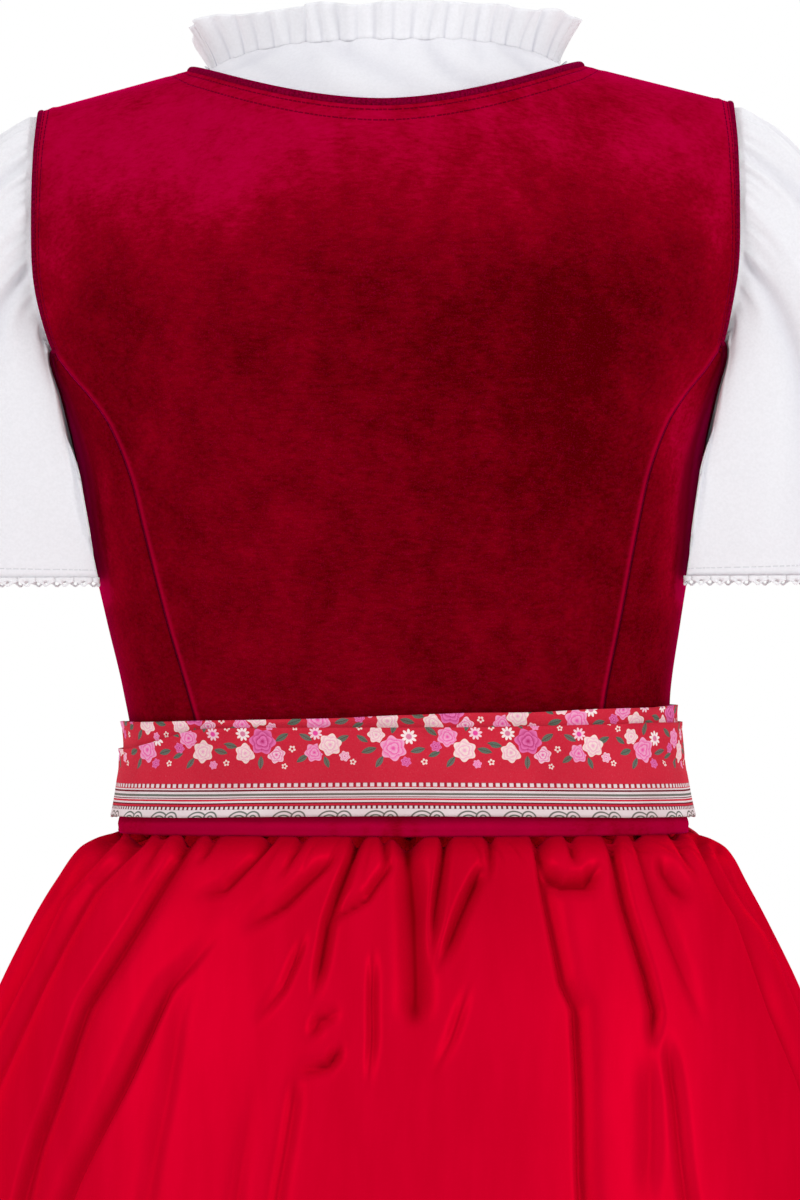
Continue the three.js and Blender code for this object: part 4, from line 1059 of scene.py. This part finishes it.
# Long soft folds of a puff: where each lies round the arm, from 0 at the shoulder over the
# back to 0.5 at the underarm, how it drifts, its depth and half-width in shares of a turn.
PUFF_FOLDS = [
    (0.02, 0.02, 3.4, 0.016), (0.07, 0.05, -2.2, 0.02), (0.12, -0.02, 3.8, 0.017),
    (0.18, 0.03, -1.8, 0.02), (0.235, 0.02, 4.2, 0.018), (0.30, -0.03, -1.6, 0.022),
    (0.345, -0.01, 3.2, 0.016), (0.41, 0.02, 2.4, 0.016), (0.47, 0.0, 1.8, 0.015),
    (0.56, 0.01, 2.0, 0.016), (0.63, -0.02, 2.8, 0.018), (0.70, 0.02, 3.4, 0.018),
    (0.76, -0.02, -1.8, 0.02), (0.81, 0.01, 3.8, 0.018), (0.87, 0.03, -2.0, 0.02),
    (0.93, -0.02, 3.6, 0.017),
]


def curve(a, b, c, t):
    return (1 - t) ** 2 * a + 2 * t * (1 - t) * b + t * t * c


def puff_form(hand, u, rows):
    """A puff without its folds, the share of each row down it and the run round its seam."""
    dense = np.linspace(0, 1, 2081)
    path = armhole_path(hand, len(dense))

    def thinned(grid):
        return np.stack([np.interp(u, dense, grid[:, k]) for k in range(3)], -1)
    point, (out, off) = thinned(path), (unit(thinned(way)) for way in arm_frames(path, hand))
    seam = point + out * INSET - off * (BLOUSE_EDGE - 1.2)
    under = point - out * 2.3 + off * 2.9
    c, s = round_arm(u)
    crown = under + vec(hand, 0, 0) * 2.4 + off * 1.2 + out * (1.6 + 1.5 * clamp(-c) ** 2)[:, None]
    crown = mix(crown, around(crown, 9), 0.7)
    bulge = under + (crown - under) * 0.5 + off * 0.6
    beside = bump((u - 0.40) / 0.07) + bump((u - 0.60) / 0.07)
    full = vec(hand * (40 + 48 * c), (mix(34, 14, clamp(s)) + 30 * beside) * s, -43)
    control, hem = around(crown, 5) + full, sleeve_hem(hand, u)
    row = np.arange(rows)
    t = np.clip((row - TURNED) / (rows - 1 - TURNED), 0, 1)
    p = []
    for j in row:
        if j < INSIDE:
            p.append(mix(seam, under, j / INSIDE))
        elif j < TURNED:
            p.append(curve(under, bulge, crown, (j - INSIDE) / (TURNED - INSIDE)))
        else:
            p.append(curve(crown, control, hem, t[j]))
    return np.array(p), t[:, None] + 0 * u, np.interp(u, dense, run_along(path))[None]


def sleeve(word, hand):
    u, row = np.linspace(0, 1, 241), np.arange(73)[:, None]
    p, t, run = puff_form(hand, u, len(row))
    r, turns = run + 0 * t, u[None] + 0 * t
    behind = clamp(p[..., 1] / 20)
    low = ease((mix(UNDERARM + 16, UNDERARM + 84, behind) - p[..., 2]) / mix(14, 50, behind))
    low = low * clamp((row - TURNED) / 5)
    clear = beside_body(hand, p[..., 1], p[..., 2])
    gap = hand * p[..., 0] - clear
    p[..., 0] += hand * low * (np.clip(gap, 0, None) * clamp(gap / 30) - gap)
    away = vec(hand * 216, 0, p[..., 2] - 10)
    n = normals(p, away, ring=True)
    fold = np.zeros(t.shape)
    for at, drift, depth, half in PUFF_FOLDS:
        apart = (turns - at - drift * t + 0.5) % 1 - 0.5
        width = half * (0.55 + 0.75 * t * (1.6 - t))
        fold += depth * bump(apart / width) * np.sin(np.pi * clamp(t * 0.8 + 0.16)) ** 0.8
    comb = np.cos(r / 1.15 + 2.2 * noise1(r, 31, 11))
    gather = comb * (0.9 * bump(t / 0.075) + 0.25 * bump((t - 0.95) / 0.05))
    gather += 1.3 * noise1(r, 17, 5.5) * bump((t - 0.04) / 0.12)
    gather *= row >= INSIDE
    beside = bump(np.clip(hand * p[..., 0] - clear, 0, None) / 4)
    settle = (1 - 0.85 * beside) * np.minimum(1, row / TURNED)
    swell = 1.2 * noise1(turns * 30 + t * 2, 5, 2.2) * np.sin(np.pi * t)
    ends = np.where(t > 0.93, mix(1, 0.25, (t - 0.93) / 0.07), 1)
    p = p + n * ((gather - fold + swell) * settle * ends)[..., None]
    p[:, -1] = p[:, 0]
    span = (1 - t) * SLEEVE_LONG
    marks = {"hem_far": span, "shade": 0.3 * clamp(fold / 4) * settle}
    made = cloth(f"puff_{word}", p, BLOUSE, [f"sleeve_{word}"], "blouse", 0.8, (r, span), ring=True,
                 marks=marks, away=away)
    return made, p[-1]


def lace_edge(word, hand, line):
    """Picot edging under a sleeve: a narrow band with one pointed loop in every scallop."""
    run = run_along(line)
    count = round(run[-1] / 10)
    pitch = run[-1] / count
    around, rings, half = 28, 4, 5
    turns = np.linspace(0, 2 * np.pi, around, endpoint=False) + np.pi / 4
    tilt = unit(np.cross(np.gradient(line, axis=0), [0, 0, 1.0]))
    verts, faces, cut = [], [], []

    def place(s, drop):
        s = s % run[-1]
        base, side = (np.array([np.interp(s, run, a[:, k]) for k in range(3)]) for a in (line, tilt))
        sign = np.sign(side[0] * (base[0] - hand * 214) + side[1] * (base[1] + 18)) or 1
        out = 0.4 + 0.05 * drop + 0.25 * math.sin(s * 0.9)
        return base + [0, 0, 0.3 - drop] + side * sign * out
    for k, ring in np.ndindex(count, rings):
        share = (ring / (rings - 1)) ** 0.8
        for b, turn in enumerate(turns):
            # From the hole's rim out to the scallop's own outline.
            cx, cy = math.cos(turn), math.sin(turn)
            big = max(abs(cx), abs(cy))
            low = 2.3 + 3.2 * (1 - min(1, abs(cx / big))) ** 1.6
            s = mix(cx, cx / big * half, share)
            drop = mix(2.95 + 0.95 * cy, mix(0, low, (cy / big + 1) / 2), share)
            if ring < rings - 1:
                i = len(verts)
                j = i - b + (b + 1) % around
                faces.append((i, j, j + around, i + around))
            verts.append(place(pitch * (k + 0.5) + s * pitch / 10, drop))
            cut.append((pitch * k + s, drop))
    cut = np.array(cut)[np.array(faces).ravel()]
    mesh = new_mesh("picots_" + word, np.array(verts), faces, cut)
    return piece("picots_" + word, mesh, LACE, [f"sleeve_lace_{word}"], 0.7)


yokes = [blouse_body(1), blouse_body(-1)]
frill = neck_frill()
puffs, laces = [], []
for word, hand in (("left", 1), ("right", -1)):
    made, line = sleeve(word, hand)
    puffs.append(made)
    laces.append(lace_edge(word, hand, line))


# ---- skirt ---------------------------------------------------------------------------
ROUND_HEM, FULLNESS = 2.1, 1.5
GATHER_END, BODY_END, PANEL_TOP, FOLD_TOP = -432, -600, -404.6, -404


def fold(line, deep, left, right, opens=0.0, closes=0.0, dark=1.0):
    """line: points (across, z) along the fold; deep: how far it falls in; left and right: its
    half-widths on the sides of + and - across (for a level fold, below and above it); opens
    and closes: the shares of its length over which it comes and goes; dark: its shade."""
    return np.array(line, float), deep, left, right, opens, closes, dark


# The back's folds, across in millimetres.
BACK_FOLDS = [
    fold([(138, -404), (163, -430), (189, -477), (214, -530), (347, -1025)], 4.5, 5, 7, dark=0.35),
    fold([(152, -404), (180, -436), (203, -480), (232, -540), (362, -1025)], 3.5, 5, 5, dark=0.35),
    fold([(112, -404), (138, -449), (163, -490), (188, -560), (307, -1025)], 4.6, 2.6, 7, dark=0.8),
    fold([(98, -404), (107, -420)], 2.4, 3, 4, closes=0.6),
    fold([(68, -405), (91, -430), (109, -435)], 3.4, 4, 2.8, closes=0.5),
    fold([(86, -446), (118, -480), (138, -524), (165, -579), (192, -640),
          (275, -1025)], 4.6, 7, 2.8, opens=0.12, dark=0.8),
    fold([(99, -450), (112, -496), (126, -583), (150, -700)], 1.3, 6, 5, opens=0.3),
    fold([(31, -408), (59, -437), (82, -453)], 4.2, 6, 4, opens=0.25, closes=0.4),
    fold([(47, -450), (59, -480), (74, -500)], 2.6, 3.4, 3, opens=0.3, closes=0.5),
    fold([(24, -404), (37, -445), (44, -490)], 4.4, 3, 5, closes=0.3),
    fold([(3, -412), (17, -434), (37, -446)], 3.6, 4.5, 2.8, opens=0.3, closes=0.3),
    fold([(27, -490), (40, -495), (46, -507)], 3.4, 4, 5, opens=0.4, closes=0.4),
    fold([(27, -507), (36, -517), (53, -522)], 4.0, 3, 4.5, opens=0.3, closes=0.4),
    fold([(52, -520), (57, -560), (64, -600), (84, -700)], 2.2, 3.4, 6, opens=0.1, closes=0.6),
    fold([(72, -518), (78, -560), (86, -610), (120, -800)], 1.6, 4, 6, opens=0.3, closes=0.5),
    fold([(14, -455), (13, -504), (16, -535)], 2.6, 2.8, 4, opens=0.3, closes=0.4),
    fold([(-2, -404), (-7, -440), (-9, -478), (-9, -501)], 5.4, 9, 9, closes=0.16),
    fold([(-21, -404), (-18, -440), (-17, -472)], 4.0, 2.6, 5, closes=0.5),
    fold([(-43, -412), (-29, -446), (-19, -474)], 4.6, 3.2, 6, opens=0.25, closes=0.35),
    fold([(-39, -472), (-28, -504), (-16, -528)], 2.2, 4, 4, opens=0.4, closes=0.5),
    fold([(-68, -404), (-78, -449), (-84, -477), (-91, -490), (-94, -587),
          (-98, -640), (-124, -1025)], 4.4, 2.4, 8, dark=0.8),
    fold([(-70, -418), (-84, -427), (-96, -427), (-103, -415)], 5.0, 5, 5, opens=0.3, closes=0.3),
    fold([(-108, -404), (-117, -437), (-129, -473), (-134, -492), (-131, -515)], 4.6, 5, 2.6, closes=0.2),
    fold([(-130, -505), (-131, -560), (-128, -600)], 2.2, 9, 5, opens=0.3, closes=0.4),
    fold([(-138, -500), (-144, -540), (-150, -590), (-172, -700), (-239, -1025)], 3.0, 5, 4, opens=0.05),
    fold([(-131, -412), (-141, -425), (-150, -440)], 3.6, 6, 6, opens=0.4, closes=0.4),
    fold([(-120, -404), (-134, -440), (-150, -480), (-160, -505)], 2.2, 3, 5, closes=0.5),
    fold([(-155, -404), (-180, -445), (-196, -492), (-212, -534), (-326, -1025)], 4.6, 4, 6, dark=0.35),
    fold([(-164, -404), (-196, -455), (-212, -492), (-232, -540), (-350, -1025)], 3.6, 4, 5, dark=0.35),
    fold([(-45, -404), (-46, -430)], 2.6, 4, 3, closes=0.7),
    fold([(10, -404), (8, -424)], 2.6, 3, 4, closes=0.7),
    fold([(52, -404), (66, -430)], 2.2, 3, 4, closes=0.7),
    fold([(-86, -404), (-90, -420)], 3.0, 3, 4, closes=0.6),
    fold([(125, -404), (140, -432)], 2.0, 3, 4, closes=0.7),
    fold([(-142, -404), (-156, -430)], 2.4, 4, 3, closes=0.7),
    fold([(10, -640), (30, -1025)], 4.5, 9, 8, opens=0.5),
    fold([(-50, -630), (-74, -1025)], 4.0, 6, 9, opens=0.5),
]
# The front's folds, in degrees round from the back's middle at the waist and the hem.
FRONT_FOLDS = [
    fold([(t, FOLD_TOP), (h, BODY_END), (h, -1060)], 0.7 * deep, 0.5 * left, 0.5 * right)
    for t, h, deep, left, right in (
        (100, 98, 9, 9, 6), (111, 108, 5, 8, 5), (121, 118, 10, 6, 11), (131, 130, 5, 7, 7),
        (141, 139, 8, 10, 5), (152, 149, 5, 6, 8), (162, 160, 10, 5, 9), (171, 170, 5, 8, 6),
        (182, 183, 8, 7, 10), (191, 192, 5, 7, 6), (200, 203, 10, 9, 6), (211, 213, 5, 6, 8),
        (222, 224, 8, 5, 9), (233, 234, 5, 8, 7), (243, 245, 10, 7, 8), (254, 255, 5, 7, 6),
        (263, 265, 8, 9, 6))]


def skirt_base(turn, z):
    power = mix(SQUARENESS, ROUND_HEM, ease((WAIST_SEAM - z) / 200))
    return round_trip(np.radians(turn), z, skirt_half, skirt_back, skirt_front, power)


def gathers(s, z, seed):
    """Small uneven puckers just under the waist seam, running out as they open."""
    comb = np.cos(2 * np.pi * s / 9.5 + 6.5 * noise1(s, seed + 2, 31) + 2.6 * noise1(s, seed + 5, 13))
    sharp = -np.clip(comb, 0, 1) ** 4 * clamp(0.5 + 0.8 * noise1(s, seed + 9, 17), 0.08, 1)
    reach = 9 + 8 * noise1(s, seed + 7, 12)
    small = sharp * bump(np.clip(WAIST_SEAM - 4 - z, 0, None) / reach)
    pleat = noise1(s + 0.3 * (z - WAIST_SEAM), seed + 11, 19) * bump((z - WAIST_SEAM + 20) / 26)
    return (1.4 * small + 1.3 * pleat) * mix(0.15, 1, ease((WAIST_SEAM - z) / 11))


def nearest(line, x, z):
    """Distance to a line of points, its side and the share of its length."""
    reach = run_along(line)
    apart, side, along = np.full_like(x, 1e9), np.ones_like(x), np.zeros_like(x)
    for (x0, z0), (x1, z1), size, start in zip(line[:-1], line[1:], np.diff(reach), reach):
        ux, uz = (x1 - x0) / size, (z1 - z0) / size
        dx, dz = x - x0, z - z0
        share = np.clip(dx * ux + dz * uz, 0, size)
        far = np.hypot(dx - share * ux, dz - share * uz)
        nearer = far < apart
        apart = np.where(nearer, far, apart)
        side = np.where(nearer, dx * uz - dz * ux, side)
        along = np.where(nearer, start + share, along)
    return apart, side, along / reach[-1]


def fold_in(x, z, folds, seed):
    """How far the folds draw each point of the flat form in, and how deep in shade it lies."""
    inward, shade = np.zeros_like(x), np.zeros_like(x)
    below = clamp((BODY_END - z) / 425)
    spread = mix(0.8, 2.6, below) * mix(0.8, 1, ease((FOLD_TOP - z) / 30))
    fade = mix(1, 0.55, ease((-500 - z) / 90)) * (1 - 0.7 * below)
    x = x + 1.2 * noise1(z, seed + 1, 38) * ease((-430 - z) / 60)
    for line, deep, left, right, opens, closes, dark in folds:
        apart, side, t = nearest(line, x, z)
        opened = ease(t / opens) if opens else 1.0
        opened = opened * ease((1 - t) / closes) if closes else opened
        width = np.where(side < 0, left, right) * spread
        inward += FULLNESS * deep * opened * mix(1, 2.2, below) * bump(apart / width)
        dark = dark * clamp(deep / 5) * fade
        shade = np.maximum(shade, opened * dark * bump(apart / (0.42 * width)))
    return inward, shade


def skirt_panel(name, node, middle, span, columns, folds, finish, slot, seed, top, bottom, lift=0.0,
                thick=1.1):
    """A gathered panel to span degrees on either side of middle, lift above the flat form."""
    turn = np.linspace(middle - span, middle + span, columns)
    heights = (np.linspace(top, GATHER_END, 26)[:-1], np.linspace(GATHER_END, BODY_END, 58)[:-1],
               np.linspace(BODY_END, bottom, 34))
    turn, z = np.meshgrid(turn, np.concatenate(heights))
    flat = skirt_base(turn, z)
    step = np.linalg.norm(np.diff(flat, axis=1), axis=-1)
    s = np.concatenate([np.zeros((len(z), 1)), np.cumsum(step, axis=1)], 1)
    half = columns // 2
    s = s - s[:, half:half + 1]
    inward, shade = fold_in(turn if middle else flat[..., 0], z, folds, seed)
    puckers = gathers(s[:1], z, seed)
    fine = 0.35 * noise1(s + 0.12 * z, seed + 3, 17) * ease((-415 - z) / 30) * ease((z + 560) / 80)
    fine += 1.6 * noise1(s - 0.25 * z, seed + 4, 58) * ease((-420 - z) / 60)
    moved = fine - inward + puckers * (0.5 if lift else 1)
    if not lift:
        moved = moved * ease((span - np.abs(turn - middle)) / 4)
    away = vec(0, 0, z)
    p = flat + normals(flat, away) * (lift + moved)[..., None]
    shade = shade + 0.35 * clamp(-puckers / 1.5) + 0.35 * bump((z - WAIST_SEAM) / 5)
    return cloth(name, p, finish, [node], slot, thick, (s + seed * 300, z - bottom), away=away,
                 marks={"hem_far": z - bottom, "shade": shade})


skirts = [
    skirt_panel("skirt_back_cloth", "skirt_back", 0, 89.99, 401, BACK_FOLDS, SATIN, "satin", 2,
                PANEL_TOP, HEM),
    skirt_panel("skirt_front_cloth", "skirt_front", 180, 89.99, 181, FRONT_FOLDS, SATIN, "satin", 5,
                PANEL_TOP, HEM)]
apron = skirt_panel("apron_cloth", "apron_panel", 180, 68, 161, FRONT_FOLDS, APRON_PRINT, "print", 5,
                    -398.4, APRON_HEM, lift=6.3, thick=0.9)


# ---- apron band, tie and bow ---------------------------------------------------------
BAND_BOTTOM, BAND_TOP, WRAP_TOP = -397, -342, -348


def outward_of(p):
    return unit(vec(p[..., 0], p[..., 1], 0))


def band_point(u, z, layer):
    place = body_ring(u, z)
    spread = 3.9 + 2 * (BAND_TOP - z) / (BAND_TOP - BAND_BOTTOM)
    return place + outward_of(place * [1, 1.4, 1]) * np.asarray(spread + layer * 2.3)[..., None]


def cotton(name, node, p, thick, cut, **more):
    return cloth(name, p, PRINT, [node], "print", thick, cut, **more)


# Creases of the upper layer over the back: from (x, z) to (x, z), with depth and half-width.
TIE_CREASES = [
    ((-128, -361), (-150, -369), 1.5, 2.6), ((-112, -357), (-134, -363), 0.9, 2.2),
    ((100, -356), (138, -368), 1.2, 3.0), ((60, -352), (96, -357), 0.6, 2.4),
    ((-40, -388), (-44, -352), 0.5, 5.0), ((-84, -352), (-88, -384), 0.6, 6.0),
    ((22, -352), (26, -392), 0.5, 6.0), ((84, -380), (120, -392), 0.6, 4.0),
    ((-10, -351), (-30, -355), 0.5, 2.4),
]


def band(name, node, layer):
    """One layer of the band; layer 1 is the tie that is wrapped over it."""
    u, v = sheet_grid(401, 27)
    line = body_ring(u[0], BAND_TOP)
    x = line[:, 0]
    if layer:
        top = WRAP_TOP - 0.012 * x - 11 * ease((x - 95) / 50)
    else:
        top = BAND_TOP - 0.03 * x
    run = run_along(line)
    run = (run - run[len(run) // 2])[None] + 0 * u
    top = top + 0.5 * noise1(run, 41 + layer, 34) * (1 - bump(u / 0.02) - bump((1 - u) / 0.02))
    low = BAND_BOTTOM + 3.2 * bump(x / 150) * (np.cos(2 * np.pi * (u - 0.5)) > 0)
    z = mix(low, top, v)
    p = band_point(u, z, layer)
    n = normals(p, ring=True)
    hem = 0.5 * bump((v - 0.985) / 0.03) - 0.3 * bump((top - z - 3) / 0.8)
    wave = 0.45 * noise1(run + 0.3 * z, 7 + layer, 23) + 0.3 * noise1(run - 0.5 * z, 3 + layer, 11)
    wave *= 1 - bump(u / 0.015) - bump((1 - u) / 0.015)
    dent = np.where(p[..., 1] > 0, creased(p[..., 0], z, TIE_CREASES if layer else []), 0)
    p = p + n * (hem + wave - dent)[..., None]
    cut = (run + 500 + 37 * layer, z - low - (0 if layer else 15))
    return cotton(name, node, p, 1.0, cut, ring=True, marks={"hem_far": top - z})


BOW_TURN, BOW_Z, BOW_HALF, BOW_DEEP = 0.93, -372.0, 16, 9
GIRTH, LOOP_LONG, TAIL_TOP, TAIL_LONG = 2 * math.pi * 150, 84, -391.6, 330


def bow_loop(word, hand, start):
    u, v = sheet_grid(121, 31)
    angle = 2 * np.pi * u
    along = BOW_HALF + start + LOOP_LONG * (1 - np.cos(angle)) / 2
    z = BOW_Z - 5 * (along / LOOP_LONG) ** 2 + (v - 0.5) * 40 * mix(0.5, 1, clamp(along / 50))
    place = band_point(BOW_TURN + hand * along / GIRTH, z, 1)
    pleats = 2.0 * np.cos(v * 19 + 1.5 * np.sin(angle)) * bump((along - BOW_HALF) / 34)
    crease = 0.7 * noise1(along + 9 * v, 14, 12) + pleats
    rise = BOW_DEEP + 3 + 9 * np.sin(angle) + crease * np.sign(np.sin(angle) + 1e-9)
    p = place + outward_of(place) * rise[..., None]
    middle = band_point(BOW_TURN + hand * (BOW_HALF + LOOP_LONG / 2) / GIRTH, BOW_Z, 1)
    middle = middle + outward_of(middle) * (BOW_DEEP + 3)
    cut = (along + 40 * hand, 7 + 40 * v)
    return cotton("loop_" + word, "bow_loop_" + word, p, 0.9, cut, ring=True,
                  away=vec(middle[0], middle[1], z))


def bow_tail(word, angle, spread, over):
    u, v = sheet_grid(41, 131)
    down = TAIL_LONG * v
    z = TAIL_TOP - down
    loose = ease(v * 5)
    width = 50 * mix(0.55, 1, loose)
    middle = mix(360 * BOW_TURN - 180, angle + spread * v, loose)
    turn = middle + (u - 0.5) * np.degrees(width / 200)
    skirt = skirt_base(turn, np.minimum(z, WAIST_SEAM - 1))
    knot = band_point((turn + 180) / 360, BAND_BOTTOM, 1)
    on_skirt = np.hypot(skirt[..., 0], skirt[..., 1]) + 10.5 + over
    at_knot = np.hypot(knot[..., 0], knot[..., 1]) + BOW_DEEP + 1.5 + over
    radius = mix(np.maximum(at_knot, on_skirt), on_skirt, ease(v * 8))
    radius = radius + 1.6 * np.sin(u * 9 + 3 * v + over) * mix(1, 0.45, loose)
    radius = radius + 0.8 * noise1(down, 6 + over, 46)
    p = outward_of(skirt) * radius[..., None] + vec(0, 0, z)
    return cotton("tail_" + word, "bow_tail_" + word, p, 0.9, (down, 4 + 50 * u), away=vec(0, 0, z))


def bow_knot():
    """The tie's pinched crossing: a rounded pad with creases drawn in at its sides."""
    seat = band_point(BOW_TURN, BOW_Z, 1)
    out = outward_of(seat)
    centre = seat + out * (BOW_DEEP + 2.2)
    side = np.array([-out[1], out[0], 0])
    a, b = np.meshgrid(np.linspace(0, 2 * np.pi, 81), np.linspace(0.02, np.pi - 0.02, 49))
    sx, sy, sz = np.sin(b) * np.cos(a), np.sin(b) * np.sin(a), np.cos(b)
    crease = 1 - 0.07 * np.cos(18 * sz + 2 * sx) * (1 - sz ** 2) - 0.05 * np.cos(9 * sx + 4 * sz)
    p = centre + side * (15.5 * sx * crease)[..., None] + out * (8.4 * sy * crease)[..., None]
    p = p + vec(0, 0, 19.5 * sz)
    return cotton("knot", "bow_knot", p, 0, (a * 16, 26 + 19 * sz), ring=True, away=centre)


BUTTON_TOP, BUTTON_PITCH, BUTTON_RADIUS, BUTTON_FOOT = -184, 28, 5.5, 4.6


def button(index):
    """A domed metal button with a rim and a six-petalled relief."""
    seat = form(0.0, BUTTON_TOP - BUTTON_PITCH * index, -1)
    out = form_normal(seat, -1)
    centre = seat + out * 0.7
    up = unit(np.array([0, 0, 1]) - out * out[2])
    side = np.cross(up, out)
    a, r = np.meshgrid(np.linspace(0, 2 * np.pi, 73), np.r_[0.02, np.linspace(0.08, 1, 22)])
    dome = 1.5 + 0.75 * np.sqrt(np.clip(1 - (r * 0.98) ** 2, 0, 1))
    petals = 0.34 * np.clip(np.cos(6 * a), 0, 1) * bump((r - 0.46) / 0.17) + 0.3 * bump(r / 0.16)
    relief = petals + 0.3 * bump((r - 0.86) / 0.07) - 0.25 * bump((r - 0.73) / 0.06)
    high = np.minimum(np.where(r > 0.97, 0.4, dome + relief), 2.4)
    # The last row is the foot, which stands on the velvet.
    a, r, high = np.vstack([a, a[:1]]), np.vstack([r, r[:1]]), np.vstack([high, 0 * high[:1] + 0.05])
    wide = BUTTON_RADIUS * r
    wide[-1] = BUTTON_FOOT
    p = centre + side * (wide * np.cos(a))[..., None] + up * (wide * np.sin(a))[..., None]
    p = p + out * high[..., None]
    return cloth(f"stud_{index + 1}", p, METAL, [f"button_{index + 1}"], "button", 0, (a, r), ring=True,
                 away=centre - out)


bands = [band("band", "apron_band", 0), band("tie", "apron_tie", 1)]
bow = [bow_knot(), bow_loop("left", -1, 0.4), bow_loop("right", 1, 1.5),
       bow_tail("under", 160, 4, 0.0), bow_tail("over", 150, -5, 2.8)]
for index in range(6):
    button(index)


# ---- camera, light and floor ---------------------------------------------------------
scene = bpy.context.scene
scene.view_settings.view_transform = "Standard"
scene.view_settings.look = "None"

# The camera stands straight behind; its picture is 0.636 m high where the dress hangs.
EYE = (-0.0074, 4.0, -0.282)
camera = bpy.data.cameras.new("Camera")
camera.sensor_fit, camera.sensor_height, camera.lens = "VERTICAL", 36, 36 * EYE[1] / 0.636
eye = bpy.data.objects.new("Camera", camera)
eye.location, eye.rotation_euler = EYE, (math.pi / 2, 0, math.pi)
scene.collection.objects.link(eye)
scene.camera = eye

# The world lights as a grey room and is seen as white paper.
world = bpy.data.worlds.new("Studio")
world.use_nodes = True
scene.world = world
sky = Graph(world.node_tree)
lit = world.node_tree.nodes["Background"]
lit.inputs[0].default_value, lit.inputs[1].default_value = (1, 1, 1.02, 1), 0.565
seen = sky.out("Background", ((1, 1, 1, 1), 1.0))
ray = sky.out("LightPath", (), "Is Camera Ray")
both = sky.out("MixShader", (ray, Value(sky, lit.outputs[0]), seen))
sky.join(both, world.node_tree.nodes["World Output"].inputs[0])


def lamp(name, power, size, place):
    """A soft box aimed at the bodice."""
    light = bpy.data.lights.new(name, "AREA")
    light.shape, light.energy = "RECTANGLE", power
    light.size, light.size_y = size
    o = bpy.data.objects.new(name, light)
    x, y, z = np.array((0, 0, -0.35)) - place
    o.location, o.rotation_euler = place, (math.atan2(math.hypot(x, y), -z), 0, math.atan2(-x, y))
    scene.collection.objects.link(o)


# Two soft boxes on the side that is looked at, one overhead, and weaker ones in front.
lamp("Key", 36, (1.0, 1.0), (2.2, 1.9, 1.7))
lamp("Fill", 38, (1.0, 1.4), (-2.4, 1.9, 1.0))
lamp("Overhead", 3, (2.0, 2.0), (0, 0.2, 2.2))
lamp("Front_key", 26, (1.6, 1.4), (-1.6, -2.4, 1.1))
lamp("Front_fill", 17, (1.4, 1.8), (2.2, -1.9, 0.1))

FLOOR_HALF, FLOOR_Z = 9, -1.5
corners = [(x * FLOOR_HALF, y * FLOOR_HALF, FLOOR_Z) for x, y in ((-1, -1), (1, -1), (1, 1), (-1, 1))]
floor_mesh = bpy.data.meshes.new("Floor")
floor_mesh.from_pydata(corners, [], [(0, 1, 2, 3)])
floor = bpy.data.objects.new("Floor", floor_mesh)
scene.collection.objects.link(floor)
paper = Look("Floor_paper", 0.9, Base_Color=(0.92, 0.92, 0.92, 1), Emission_Color=(1, 1, 1, 1),
             Emission_Strength=0.16)
floor_mesh.materials.append(paper.made)
